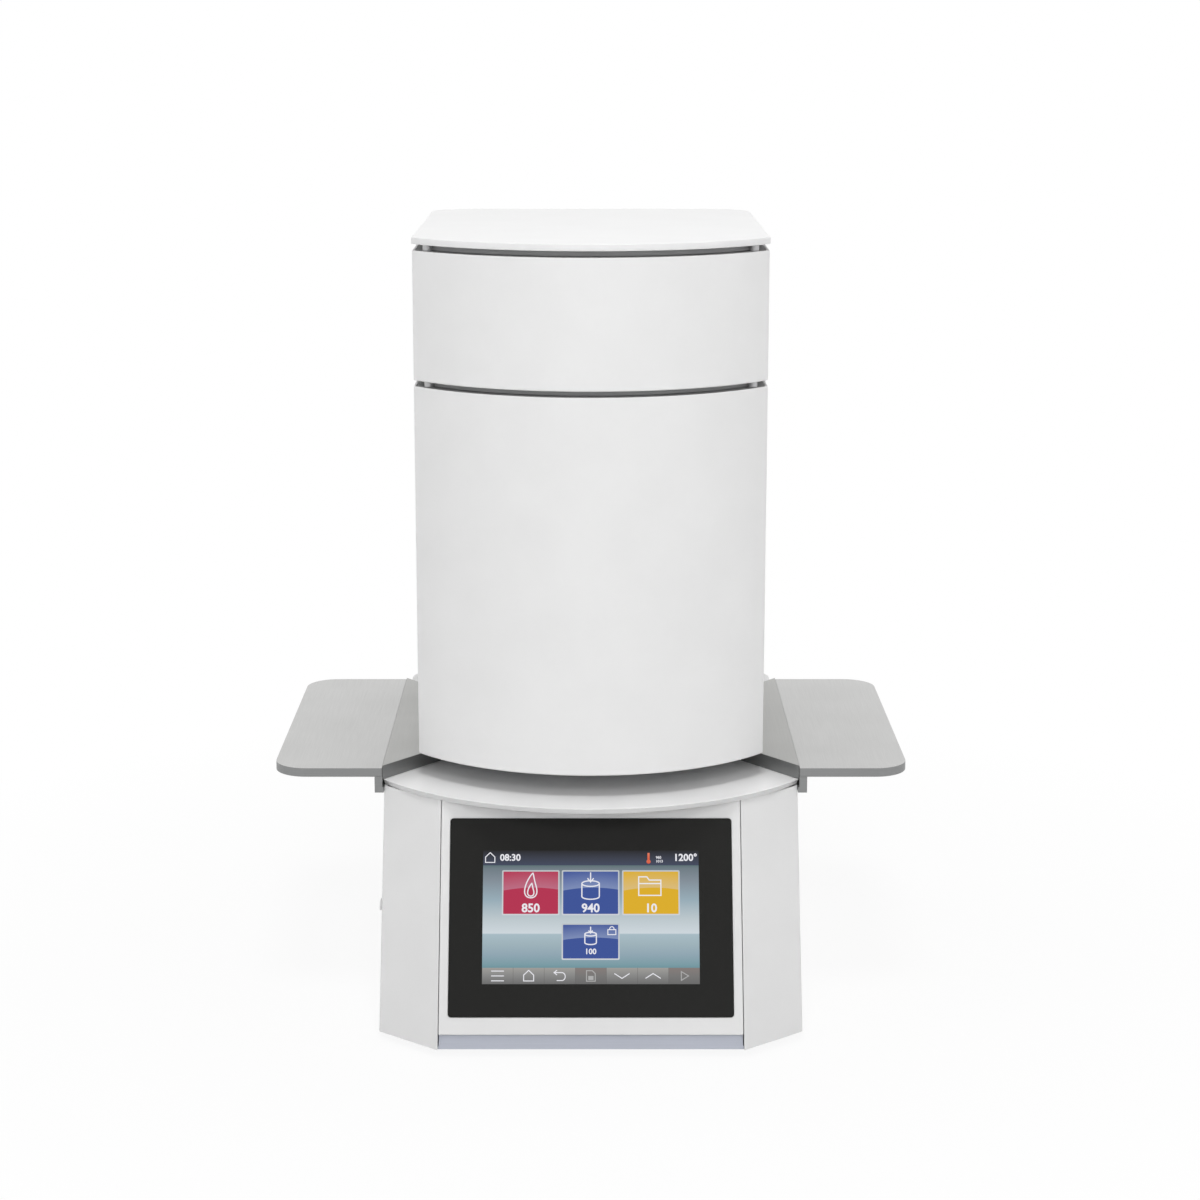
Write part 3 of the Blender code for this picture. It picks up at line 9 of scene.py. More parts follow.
import bmesh
import bpy
import numpy as np
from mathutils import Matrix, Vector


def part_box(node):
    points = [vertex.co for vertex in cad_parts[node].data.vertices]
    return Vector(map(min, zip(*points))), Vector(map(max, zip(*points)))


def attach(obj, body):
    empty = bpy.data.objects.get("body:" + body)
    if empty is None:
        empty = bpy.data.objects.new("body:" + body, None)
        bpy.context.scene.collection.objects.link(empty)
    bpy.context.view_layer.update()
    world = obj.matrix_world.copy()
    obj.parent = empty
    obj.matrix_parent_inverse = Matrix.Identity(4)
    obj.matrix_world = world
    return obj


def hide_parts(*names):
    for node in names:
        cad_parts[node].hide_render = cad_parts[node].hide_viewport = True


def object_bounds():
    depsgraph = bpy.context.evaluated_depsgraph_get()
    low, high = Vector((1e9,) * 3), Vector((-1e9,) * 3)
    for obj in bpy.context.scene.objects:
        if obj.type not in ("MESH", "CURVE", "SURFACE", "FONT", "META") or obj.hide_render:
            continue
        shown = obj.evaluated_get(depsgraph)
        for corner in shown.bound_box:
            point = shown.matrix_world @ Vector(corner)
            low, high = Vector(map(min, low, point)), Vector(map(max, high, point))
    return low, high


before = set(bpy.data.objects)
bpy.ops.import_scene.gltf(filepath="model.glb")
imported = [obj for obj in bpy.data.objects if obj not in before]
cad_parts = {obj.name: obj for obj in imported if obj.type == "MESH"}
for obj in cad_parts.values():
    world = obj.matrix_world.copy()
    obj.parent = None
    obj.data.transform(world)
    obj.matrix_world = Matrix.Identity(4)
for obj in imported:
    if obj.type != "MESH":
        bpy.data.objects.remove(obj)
cad_box = [list(corner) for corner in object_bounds()]


# Floor pan: a folded aluminium sheet that closes the base below. Its front edge turns up and shows as the
# satin strip under the touch panel. It is fine brushed from side to side, and left a little blue.

def light(red, green, blue):
    """A colour given as screen values from 0 to 255, as linear light."""
    value = np.array((red, green, blue)) / 255
    return tuple(np.where(value > 0.04045, ((value + 0.055) / 1.055) ** 2.4, value / 12.92))


def pattern(name, inputs, outputs):
    """Empty node group with named sockets: inputs are (kind, name, value), outputs are (kind, name)."""
    tree = bpy.data.node_groups.new(name, "ShaderNodeTree")
    for kind, label, value in inputs:
        socket = tree.interface.new_socket(label, in_out="INPUT", socket_type="NodeSocket" + kind)
        socket.default_value = value
    for kind, label in outputs:
        tree.interface.new_socket(label, in_out="OUTPUT", socket_type="NodeSocket" + kind)
    return tree, tree.nodes.new("NodeGroupInput"), tree.nodes.new("NodeGroupOutput")


def node(tree, kind, links=(), **values):
    """Add a node, set its properties, and link (input, source socket) or set (input, value)."""
    added = tree.nodes.new("ShaderNode" + kind)
    for label, value in values.items():
        setattr(added, label, value)
    for label, source in links:
        if isinstance(source, bpy.types.NodeSocket):
            tree.links.new(source, added.inputs[label])
        else:
            added.inputs[label].default_value = source
    return added


def remap(tree, value, source, target):
    """A value moved from one pair of limits to another."""
    ends = [("From Min", source[0]), ("From Max", source[1]), ("To Min", target[0]), ("To Max", target[1])]
    return node(tree, "MapRange", [("Value", value)] + ends).outputs[0]


def surface_group(name, density, usual, draw):
    """Node group of a surface, whose first input is its density in repeats per metre.

    draw adds the noise, and gives the height, the factor of the colour and what the roughness gains.
    """
    kind = "Vector" if isinstance(usual, tuple) else "Float"
    tree, into, out = pattern(
        name, [(kind, density, usual), ("Color", "Colour", (1, 1, 1, 1)), ("Float", "Roughness", 0.5)],
        [("Color", "Colour"), ("Float", "Roughness"), ("Float", "Height")])
    height, tint, drift = draw(tree, node(tree, "TexCoord").outputs["Object"], into.outputs[0])
    colour = node(tree, "VectorMath", [(0, into.outputs["Colour"]), ("Scale", tint)], operation="SCALE")
    rough = node(tree, "Math", [(0, into.outputs["Roughness"]), (1, drift)])
    given = {"Colour": colour.outputs[0], "Roughness": rough.outputs[0], "Height": height}
    for label, source in given.items():
        tree.links.new(source, out.inputs[label])
    return tree


def draw_brushed(tree, place, lines):
    """Brushed metal: noise drawn out along one axis."""
    stretched = node(tree, "Mapping", [("Vector", place), ("Scale", lines)]).outputs[0]
    grain = node(tree, "TexNoise", [("Vector", stretched), ("Scale", 1.0), ("Detail", 4.0),
                                    ("Roughness", 0.65)]).outputs[0]
    cloud = node(tree, "TexNoise", [("Vector", place), ("Scale", 18.0), ("Detail", 2.0)]).outputs[0]
    drift = node(tree, "Math", [(0, remap(tree, cloud, (0.3, 0.7), (-0.03, 0.03))),
                                (1, remap(tree, grain, (0.25, 0.75), (-0.05, 0.05)))]).outputs[0]
    return grain, remap(tree, grain, (0.25, 0.75), (0.90, 1.04)), drift


brushed = surface_group("brushed", "Lines per metre", (1, 1, 1), draw_brushed)


def material(name, colour, roughness, metallic=0.0, specular=0.5):
    """Principled material with one colour, and its tree and shader for what comes on top."""
    made = bpy.data.materials.new(name)
    made.use_nodes = True
    made.diffuse_color = (*light(*colour), 1)
    shader = made.node_tree.nodes["Principled BSDF"]
    shader.inputs["Base Color"].default_value = (*light(*colour), 1)
    shader.inputs["Roughness"].default_value = roughness
    shader.inputs["Metallic"].default_value = metallic
    shader.inputs["Specular IOR Level"].default_value = specular
    return made, made.node_tree, shader


def surfaced(name, group, density, relief, colour, roughness, metallic=0.0, specular=0.5):
    """Material with a surface group for colour, roughness and relief, whose depth is in metres."""
    made, tree, shader = material(name, colour, roughness, metallic, specular)
    cover = node(tree, "Group", node_tree=group)
    cover.inputs[0].default_value = density
    cover.inputs["Colour"].default_value = (*light(*colour), 1)
    cover.inputs["Roughness"].default_value = roughness
    bump = node(tree, "Bump", [("Height", cover.outputs["Height"]), ("Distance", relief), ("Strength", 1.0)])
    tree.links.new(cover.outputs["Colour"], shader.inputs["Base Color"])
    tree.links.new(cover.outputs["Roughness"], shader.inputs["Roughness"])
    tree.links.new(bump.outputs[0], shader.inputs["Normal"])
    return made


def dress(finish, *names):
    """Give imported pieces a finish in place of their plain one."""
    for name in names:
        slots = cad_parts[name].data.materials
        slots.clear()
        slots.append(finish)


strip_satin = surfaced("strip_satin", brushed, (14, 2600, 2600), 0.000004, (179, 183, 194), 0.46, 0.55)
dress(strip_satin, "base_chassis")


# Feet: four moulded rubber buffers under the floor pan, each turned from a dished profile with a hole for
# its screw. They are dull black, with a fine moulded skin.

def draw_moulded(tree, place, grains):
    """Moulded skin: fine noise as height, and broad noise that tints a little."""
    grain = node(tree, "TexNoise", [("Vector", place), ("Scale", grains), ("Detail", 3.0),
                                    ("Roughness", 0.6)]).outputs[0]
    cloud = node(tree, "TexNoise", [("Vector", place), ("Scale", 25.0), ("Detail", 3.0)]).outputs[0]
    drift = remap(tree, cloud, (0.3, 0.7), (-0.025, 0.025))
    return grain, remap(tree, cloud, (0.3, 0.7), (0.985, 1.012)), drift


moulded = surface_group("moulded", "Grains per metre", 900, draw_moulded)


def unit(vectors):
    """Vectors of length 1."""
    return vectors / np.linalg.norm(vectors, axis=-1, keepdims=True)


def filleted(corners, radii, steps=5, hold=0.0):
    """Closed outline with round corners.

    The centre of each arc lies on the bisector, radius / sin(half angle) from the corner, and the arc turns
    from one tangent point to the other with sine weights. A hold adds a point beyond each end of the arc,
    where the straight stretch has room for it, and keeps the shading of that stretch flat.
    """
    corners = np.asarray(corners, float)
    radii = np.broadcast_to(np.asarray(radii, float), len(corners))[:, None]
    back = unit(np.roll(corners, 1, 0) - corners)
    ahead = unit(np.roll(corners, -1, 0) - corners)
    half = np.arccos((back * ahead).sum(1, keepdims=True)) / 2
    reach = radii / np.tan(half)
    centre = corners + unit(back + ahead) * radii / np.sin(half)
    turn = (np.pi - 2 * half)[:, None]
    share = np.linspace(0, 1, steps + 1)[None, :, None]
    start = (corners + back * reach - centre)[:, None]
    end = (corners + ahead * reach - centre)[:, None]
    bend = centre[:, None] + (start * np.sin((1 - share) * turn) + end * np.sin(share * turn)) / np.sin(turn)
    if hold:
        room = np.linalg.norm(np.roll(corners, 1, 0) - corners, axis=1, keepdims=True)
        room -= reach + np.roll(reach, 1, 0)
        before = (corners + back * (reach + np.minimum(hold, 0.4 * room)))[:, None]
        after = (corners + ahead * (reach + np.minimum(hold, 0.4 * np.roll(room, -1, 0))))[:, None]
        bend = np.concatenate([before, bend, after], 1)
    return bend.reshape(-1, 2)


def full_turn(sides):
    """Angles that go once round."""
    return np.linspace(0, 2 * np.pi, sides, endpoint=False)


def about(centre, radius, angle, height):
    """Points about a centre: (x + r cos a, y + r sin a, h)."""
    x, y = centre[0] + radius * np.cos(angle), centre[1] + radius * np.sin(angle)
    return np.stack([x, y, height + 0 * angle], -1)


def turned(profile, centre=(0, 0), sides=72):
    """Rings of a round body from radii and heights. A radius may also hold one value for each side."""
    return np.array([about(centre, radius, full_turn(sides), height) for radius, height in profile])


def round_box(name):
    """Lower and upper corner of a round upright piece, its centre and its radius."""
    low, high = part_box(name)
    return low, high, (low + high) / 2, (high.x - low.x) / 2


def shape(name, rings, finish, looped=False, place=None, sharp=32):
    """Object from rings of points.

    Neighbouring rings are joined by quads. A looped body also joins the last ring to the first, and any
    other ends in two flat faces. place turns the ring points into points in space.
    """
    rings = np.asarray(rings, float)
    if place:
        rings = place(rings)
    rows, count = rings.shape[:2]
    index = np.arange(rows * count).reshape(rows, count)
    low = index if looped else index[:-1]
    high = np.roll(index, -1, 0)[:len(low)]
    faces = np.stack([low, np.roll(low, -1, 1), np.roll(high, -1, 1), high], -1).reshape(-1, 4).tolist()
    ends = [] if looped else [index[0].tolist(), index[-1].tolist()]
    return filled(name, rings.reshape(-1, 3), faces + ends, finish, len(ends), sharp)


def filled(name, points, faces, finish, flat_ends=0, sharp=32):
    """Object from points and faces, with faces turned outwards and creases kept sharp."""
    mesh = bpy.data.meshes.new(name)
    mesh.from_pydata(np.asarray(points).tolist(), [], faces)
    bm = bmesh.new()
    bm.from_mesh(mesh)
    bmesh.ops.recalc_face_normals(bm, faces=bm.faces)
    bm.to_mesh(mesh)
    bm.free()
    mesh.set_sharp_from_angle(angle=np.radians(sharp))
    smooth = np.arange(len(mesh.polygons)) < len(mesh.polygons) - flat_ends
    mesh.polygons.foreach_set("use_smooth", smooth)
    mesh.materials.append(finish)
    made = bpy.data.objects.new(name, mesh)
    bpy.context.scene.collection.objects.link(made)
    return made


def settle(made, body, cad=None):
    """Tell the frame which body a piece rides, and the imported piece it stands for."""
    if cad:
        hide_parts(cad)
    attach(made, body)


rubber = surfaced("foot_rubber", moulded, 2500, 0.00003, (34, 34, 35), 0.82)
FOOT_HOLE = 0.0030
FOOT_ROUND = 0.0008
FOOT_DISH = 0.0040
for end in ("front_left", "front_right", "rear_left", "rear_right"):
    low, high, centre, top_radius = round_box("foot_" + end)
    corners = [(FOOT_HOLE, low.z + FOOT_ROUND), (FOOT_HOLE + FOOT_DISH, low.z + FOOT_ROUND),
               (FOOT_HOLE + FOOT_DISH + FOOT_ROUND, low.z), (top_radius - 2 * FOOT_ROUND, low.z),
               (top_radius, low.z + 2 * FOOT_ROUND), (top_radius, high.z), (FOOT_HOLE, high.z)]
    rings = turned(filleted(corners, FOOT_ROUND / 4, 3), centre, 48)
    foot = shape("rubber_foot_" + end, rings, rubber, True)
    settle(foot, "base", "foot_" + end)


# Items on the floor pan that no one sees with the base closed: the folded case of the power supply, the cast
# vacuum valve, and the lift's bracket and motor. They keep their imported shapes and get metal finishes.

cast_metal = surfaced("cast_aluminium", moulded, 700, 0.00006, (186, 187, 188), 0.50, 0.9)
case_metal = surfaced("zinc_sheet", brushed, (240, 240, 900), 0.000006, (176, 178, 180), 0.42, 0.9)
motor_black = surfaced("motor_paint", moulded, 1500, 0.00003, (46, 47, 50), 0.50)
dress(case_metal, "power_supply")
dress(cast_metal, "vacuum_valve", "lift_bracket")
dress(motor_black, "lift_motor")


# Lift: two ground steel columns guide the head, and between them stands the lead spindle, which the coupler
# joins to the motor. The spindle has a rolled thread with four starts and a lead of 20 mm.

def draw_ground(tree, place, rings):
    """Ground metal: fine rings round the vertical axis, from height alone."""
    up = node(tree, "SeparateXYZ", [("Vector", place)]).outputs["Z"]
    fine = node(tree, "TexNoise", [("W", up), ("Scale", rings), ("Detail", 3.0)],
                noise_dimensions="1D").outputs[0]
    return fine, remap(tree, fine, (0, 1), (0.92, 1.05)), remap(tree, fine, (0, 1), (-0.05, 0.05))


ground = surface_group("ground", "Rings per metre", 3000, draw_ground)
ground_steel = surfaced("ground_steel", ground, 4000, 0.000002, (205, 206, 208), 0.20, 1.0)
turned_aluminium = surfaced("turned_aluminium", ground, 2500, 0.000004, (200, 202, 204), 0.34, 1.0)
dress(turned_aluminium, "shaft_coupler")
COLUMN_CHAMFER = 0.0015
for side in ("left", "right"):
    low, high, centre, radius = round_box("guide_column_" + side)
    profile = [(radius, low.z), (radius, high.z - COLUMN_CHAMFER), (radius - COLUMN_CHAMFER, high.z)]
    column = shape("ground_column_" + side, turned(profile, centre), ground_steel)
    settle(column, "base", "guide_column_" + side)

THREAD_LEAD = 0.020
THREAD_STARTS = 4
THREAD_DEPTH = 0.0011
THREAD_ROW = 0.0004
THREAD_FLAT = 1.6
THREAD_RUN_OUT = 0.004
low, high, centre, radius = round_box("lift_spindle")
rows = int((high.z - low.z) / THREAD_ROW)
height = np.linspace(low.z, high.z, rows)[:, None]
angle = full_turn(48)[None]
# Flanks: the depth follows a wave of the height plus the turn, cut flat at crest and root
wave = np.cos(2 * np.pi * THREAD_STARTS * height / THREAD_LEAD - THREAD_STARTS * angle)
cut = THREAD_DEPTH * (0.5 - 0.5 * np.clip(THREAD_FLAT * wave, -1, 1))
run_out = np.clip((high.z - height) / THREAD_RUN_OUT, 0, 1)
reach = radius - np.maximum(cut, THREAD_DEPTH * (1 - run_out))
spindle = shape("threaded_spindle", about(centre, reach, angle, height), ground_steel, sharp=60)
settle(spindle, "spindle", "lift_spindle")


# Side covers: each is one folded sheet with the slanted corner panel in front and the side wall behind. The
# bend stands between them, and the coat is a satin white powder coat with a fine orange peel.

def powder_coat(name, colour, roughness):
    """Satin powder coat with a fine orange peel."""
    return surfaced(name, moulded, 1300, 0.000012, colour, roughness)


# Base covers: a greyer copy of the white coat, painted shade that darkens the side covers, port cap and
# front panel.
painted_shade_cover_coat = powder_coat("cover_powder_coat_painted_shade", (221, 221, 221), 0.40)


def offset(corners, inset):
    """Corners of a polygon whose sides all move inwards by one distance."""
    corners = np.asarray(corners, float)
    ahead = unit(np.roll(corners, -1, 0) - corners)
    x, y = corners.T
    turn = np.sign(np.sum(x * np.roll(y, -1) - np.roll(x, -1) * y))
    normal = turn * np.stack([-ahead[:, 1], ahead[:, 0]], -1)
    before = np.roll(normal, 1, 0)
    return corners + inset * (normal + before) / (1 + (normal * before).sum(1, keepdims=True))


def edge_profile(low, high, edge, steps=3, hold=0.0006):
    """Insets and heights of a plate's edge from bottom to top, with a quarter round at each arris."""
    turn = np.linspace(0, np.pi / 2, steps + 1)
    up = [(edge * (1 - np.cos(a)), high - edge + edge * np.sin(a)) for a in turn]
    down = [(inset, low + high - height) for inset, height in reversed(up)]
    return np.array([(edge + hold, low)] + down + up + [(edge + hold, high)])


def level(outline, height):
    """Outline set flat at a height."""
    return np.column_stack([outline, np.full(len(outline), height)])


def stacked(corners, radii, profile, steps=5, hold=0.0006):
    """Rings of a plate: for each (inset, height) its corners, or what they are at that height, moved in and
    rounded."""
    rings = []
    radii = np.asarray(radii, float)
    for inset, height in profile:
        plan = corners(height) if callable(corners) else corners
        rounded = np.maximum(radii - inset, 0.0001)
        rings.append(level(filleted(offset(plan, inset), rounded, steps, hold), height))
    return np.array(rings)


LEAN = np.radians(27.6)
PANEL_SHEET = 0.002
COVER_EDGE = 0.0004
COVER_BEND = 0.0020
CHAMFER_DEPTH = 0.0367
low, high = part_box("right_side_cover")
foot_line = low.z
seam = low.x
front_line = low.y
slope = CHAMFER_DEPTH / (high.x - seam)


def cover_corners(side):
    """Corners of a side cover at a height: the front ones slide back by height times tan(lean)."""
    def at(height):
        back = front_line + (height - foot_line) * np.tan(LEAN)
        inner = back + PANEL_SHEET * np.hypot(1, slope)
        wall = high.x - PANEL_SHEET
        corners = [(seam, back), (high.x, back + CHAMFER_DEPTH), (high.x, high.y), (wall, high.y),
                   (wall, inner + (wall - seam) * slope), (seam, inner)]
        return [(side * x, y) for x, y in corners]
    return at


for name, side in (("left", -1), ("right", 1)):
    radii = [COVER_EDGE, COVER_BEND, COVER_EDGE, COVER_EDGE, COVER_EDGE, COVER_EDGE]
    rings = stacked(cover_corners(side), radii, edge_profile(low.z, high.z, COVER_EDGE, hold=0.0002))
    cover = shape("side_sheet_" + name, rings, painted_shade_cover_coat)
    settle(cover, "base", name + "_side_cover")


# Service port cap: a small moulded plug in the left side cover, with a lip and a dished middle.

CAP_LIP = 0.0007
low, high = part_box("service_port_cap")
middle = (low + high) / 2
wide, tall = high.y - low.y, high.z - low.z


def on_left_wall(points):
    """Points given as back, up and out of the left wall, as points in space."""
    back, up, out = np.moveaxis(np.asarray(points, float), -1, 0)
    return np.stack([high.x - out, middle.y + back, middle.z + up], -1)


def rectangle(width, length, centre=(0, 0)):
    """Corners of a rectangle."""
    x, y = np.array((-1, 1, 1, -1)) * width / 2, np.array((-1, -1, 1, 1)) * length / 2
    return np.stack([centre[0] + x, centre[1] + y], -1)


reach = high.x - low.x
profile = [(0, 0), (0, reach - CAP_LIP), (CAP_LIP / 3, reach - CAP_LIP / 3), (CAP_LIP, reach),
           (2 * CAP_LIP, reach), (2.6 * CAP_LIP, reach - CAP_LIP)]
rings = stacked(rectangle(wide, tall), tall * 0.48, profile, hold=0)
cap = shape("port_plug", rings, painted_shade_cover_coat, place=on_left_wall)
settle(cap, "base", "service_port_cap")


# Behind the touch glass: screen module, sheet bracket and green control board. Only the fan grille and the
# vents give a glimpse of them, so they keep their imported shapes.

module_back = surfaced("module_back", brushed, (900, 60, 60), 0.000004, (150, 152, 154), 0.40, 0.8)
board_green = surfaced("solder_mask", moulded, 400, 0.00004, (22, 92, 48), 0.38)
dress(module_back, "lcd_module", "display_bracket")
dress(board_green, "control_board")


# Front panel: a 2 mm sheet that leans back, with a window for the touch glass. Its free edges are broken, so
# a thin bright line runs round the panel and round the window.

PANEL_EDGE = 0.0004
PANEL_FLANGE = 0.0003
WINDOW_GAP = 0.0001
WINDOW_CORNER = 0.0024
SHEET_CORNER = 0.0008
panel_low, panel_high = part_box("front_panel")
glass_low, glass_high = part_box("display_glass")
glass_wide = glass_high.x - glass_low.x
GLASS_THICK = 0.0026
GLASS_PROUD = 0.0006
glass_long = (glass_high.z - glass_low.z - GLASS_THICK * np.sin(LEAN)) / np.cos(LEAN)
panel_wide = panel_high.x - panel_low.x + 2 * PANEL_FLANGE
panel_foot = np.array((0, cad_box[0][1], foot_line))


def on_panel(points):
    """Points given as across, up the slope and out of the sheet, as points in space."""
    across, up, out = np.moveaxis(np.asarray(points, float), -1, 0)
    y = panel_foot[1] + up * np.sin(LEAN) - out * np.cos(LEAN)
    z = panel_foot[2] + up * np.cos(LEAN) + out * np.sin(LEAN)
    return np.stack([across, y, z], -1)


PANEL_START = 0.0112
panel_end = (panel_high.z - foot_line) / np.cos(LEAN)
GLASS_MIDDLE = 0.0962
outer = rectangle(panel_wide, panel_end - PANEL_START, (0, (panel_end + PANEL_START) / 2))
window = rectangle(glass_wide + 2 * WINDOW_GAP, glass_long + 2 * WINDOW_GAP, (0, GLASS_MIDDLE))
edge = edge_profile(-PANEL_SHEET, 0, PANEL_EDGE)
outside = stacked(outer, SHEET_CORNER, edge)
inside = stacked(window, WINDOW_CORNER, edge * (-1, 1))[::-1]
panel = shape("front_sheet", np.concatenate([outside, inside]), painted_shade_cover_coat, True, on_panel)
settle(panel, "base", "front_panel")


# Touch glass: black printed from behind, with round corners and a ground edge, and a little proud of the
# sheet. It is one deep, slightly soft gloss.

GLASS_CORNER = 0.0023
GLASS_EDGE = 0.0003
glass_black = surfaced("black_glass", moulded, 60, 0.000002, (36, 36, 35), 0.22, specular=0.07)
rings = stacked(rectangle(glass_wide, glass_long, (0, GLASS_MIDDLE)), GLASS_CORNER,
                edge_profile(GLASS_PROUD - GLASS_THICK, GLASS_PROUD, GLASS_EDGE), 8)
glass = shape("touch_glass", rings, glass_black, place=on_panel)
settle(glass, "base", "display_glass")


# Lit screen: the picture that shows through the glass. It has a dark head line, a grey-blue field with a
# horizon, four tiles and a row of seven keys. All signs on it are plain ones, and its text is numbers.

SCREEN_HALF = 0.0786
SCREEN_LOW = 0.0474
BAR_TOP = 0.0592
FIELD_TOP = 0.1339
SCREEN_TOP = 0.1448
FOIL = 0.00004


def lit(name):
    """Glowing material under the same gloss as the glass, and its tree and shader."""
    made, tree, shader = material(name, (8, 8, 8), 0.22, specular=0.07)
    shader.inputs["Emission Strength"].default_value = 1.0
    return made, tree, shader


def graded(name, stops):
    """Lit material with a colour ramp up the piece's own map; stops are (share, colour)."""
    made, tree, shader = lit(name)
    up = node(tree, "SeparateXYZ", [("Vector", node(tree, "TexCoord").outputs["UV"])]).outputs["Y"]
    ramp = node(tree, "ValToRGB", [("Fac", up)])
    ramp.color_ramp.elements.remove(ramp.color_ramp.elements[1])
    ramp.color_ramp.elements[0].position = stops[0][0]
    ramp.color_ramp.elements[0].color = (*light(*stops[0][1]), 1)
    for share, colour in stops[1:]:
        ramp.color_ramp.elements.new(share).color = (*light(*colour), 1)
    tree.links.new(ramp.outputs[0], shader.inputs["Emission Color"])
    return made


def foil(name, outlines, layers, finish):
    """Thin printed sheets on the glass from closed outlines, with a map from 0 to 1 over each one's box."""
    points, faces, chart = [], [], []
    for outline in outlines:
        outline = np.asarray(outline, float)
        faces.append(list(range(len(points), len(points) + len(outline))))
        points += level(outline, GLASS_PROUD + layers * FOIL).tolist()
        chart.append((outline - outline.min(0)) / np.maximum(np.ptp(outline, axis=0), 0.00001))
    mesh = bpy.data.meshes.new(name)
    mesh.from_pydata(on_panel(points).tolist(), [], faces)
    mesh.uv_layers.new(name="screen").data.foreach_set("uv", np.concatenate(chart).ravel())
    mesh.materials.append(finish)
    made = bpy.data.objects.new(name, mesh)
    bpy.context.scene.collection.objects.link(made)
    back = made.modifiers.new("thickness", "SOLIDIFY")
    back.thickness = FOIL * 0.9
    back.offset = -1
    settle(made, "base")


def field(low, high, left=-SCREEN_HALF, right=SCREEN_HALF):
    """Outline of a square-cornered area of the screen."""
    return [(left, low), (right, low), (right, high), (left, high)]


sky = [(0.0, (108, 146, 156)), (0.03, (121, 154, 163)), (0.13, (143, 165, 177)), (0.23, (157, 177, 185)),
       (0.325, (166, 186, 195)), (0.335, (204, 213, 219)), (0.47, (188, 199, 204)), (0.66, (150, 171, 182)),
       (0.85, (130, 141, 151)), (0.97, (110, 123, 131)), (1.0, (92, 112, 116))]
foil("screen_field", [field(BAR_TOP, FIELD_TOP)], 1, graded("screen_field", sky))
foil("screen_head", [field(FIELD_TOP, SCREEN_TOP)], 1,
     graded("screen_head", [(0.0, (66, 73, 93)), (0.45, (60, 64, 77)), (1.0, (40, 40, 43))]))
KEYS = 7
GREY_KEYS = (3, 6)
KEY_SEAM = 0.0003
key_wide = 2 * SCREEN_HALF / KEYS
keys = [field(SCREEN_LOW, BAR_TOP, key_wide * k - SCREEN_HALF + KEY_SEAM / 2,
              key_wide * (k + 1) - SCREEN_HALF - KEY_SEAM / 2) for k in range(KEYS)]
foil("screen_bar", [field(SCREEN_LOW, BAR_TOP)], 1,
     graded("screen_bar", [(0.0, (96, 96, 96)), (1.0, (120, 118, 116))]))
foil("screen_keys", [key for k, key in enumerate(keys) if k not in GREY_KEYS], 2,
     graded("screen_keys", [(0.0, (106, 106, 106)), (0.6, (138, 138, 137)), (1.0, (158, 156, 152))]))
foil("screen_grey_keys", [keys[k] for k in GREY_KEYS], 2,
     graded("screen_grey_keys", [(0.0, (104, 104, 104)), (0.5, (118, 117, 116)), (1.0, (132, 123, 120))]))

TILE_ROUND = 0.0010
TILE_RIM = 0.0010
tiles = {"red": (-0.0647, -0.0228, 0.0973, 0.1303), "blue": (-0.0212, 0.0208, 0.0973, 0.1303),
         "gold": (0.0227, 0.0647, 0.0973, 0.1303), "small": (-0.0212, 0.0208, 0.0649, 0.0914)}


def build_gloss():
    """Tile gloss: above a low arch across the tile the colour pales towards the arch."""
    white = (1, 1, 1, 1)
    tree, into, out = pattern("tile_gloss", [("Color", "Deep", white), ("Color", "Pale", white)],
                              [("Color", "Colour")])
    place = node(tree, "SeparateXYZ", [("Vector", node(tree, "TexCoord").outputs["UV"])])
    aside = node(tree, "Math", [(0, place.outputs["X"]), (1, 0.55)], operation="SUBTRACT").outputs[0]
    square = node(tree, "Math", [(0, aside), (1, aside)], operation="MULTIPLY").outputs[0]
    arch = remap(tree, square, (0, 0.3), (0.62, 0.55))
    above = node(tree, "Math", [(0, place.outputs["Y"]), (1, arch)], operation="SUBTRACT").outputs[0]
    inside_arch = node(tree, "Math", [(0, above), (1, 0.0)], operation="GREATER_THAN").outputs[0]
    amount = node(tree, "Math", [(0, remap(tree, above, (0, 0.40), (1, 0.12))), (1, inside_arch)],
                  operation="MULTIPLY").outputs[0]
    # The mix node's colours are its inputs 6 and 7 and its output 2
    mixed = node(tree, "Mix", [("Factor", amount), (6, into.outputs["Deep"]), (7, into.outputs["Pale"])],
                 data_type="RGBA")
    tree.links.new(mixed.outputs[2], out.inputs["Colour"])
    return tree


tile_gloss = build_gloss()


def tile_finish(name, deep, pale):
    """Lit tile colour with the gloss arch."""
    made, tree, shader = lit(name)
    cover = node(tree, "Group", node_tree=tile_gloss)
    cover.inputs["Deep"].default_value = (*light(*deep), 1)
    cover.inputs["Pale"].default_value = (*light(*pale), 1)
    tree.links.new(cover.outputs[0], shader.inputs["Emission Color"])
    return made


rims, fills = [], {}
for name, (left, right, low_edge, high_edge) in tiles.items():
    corners = np.array(field(low_edge, high_edge, left, right))
    rims.append(filleted(corners, TILE_ROUND))
    fills[name] = filleted(offset(corners, TILE_RIM), TILE_ROUND / 2)
foil("tile_rims", rims, 2, graded("tile_rims", [(0.0, (205, 208, 214)), (1.0, (190, 196, 200))]))
foil("tile_red", [fills["red"]], 3, tile_finish("tile_red", (178, 50, 80), (186, 108, 130)))
foil("tile_blue", [fills["blue"], fills["small"]], 3,
     tile_finish("tile_blue", (60, 82, 150), (124, 140, 182)))
foil("tile_gold", [fills["gold"]], 3, tile_finish("tile_gold", (218, 172, 40), (216, 186, 122)))


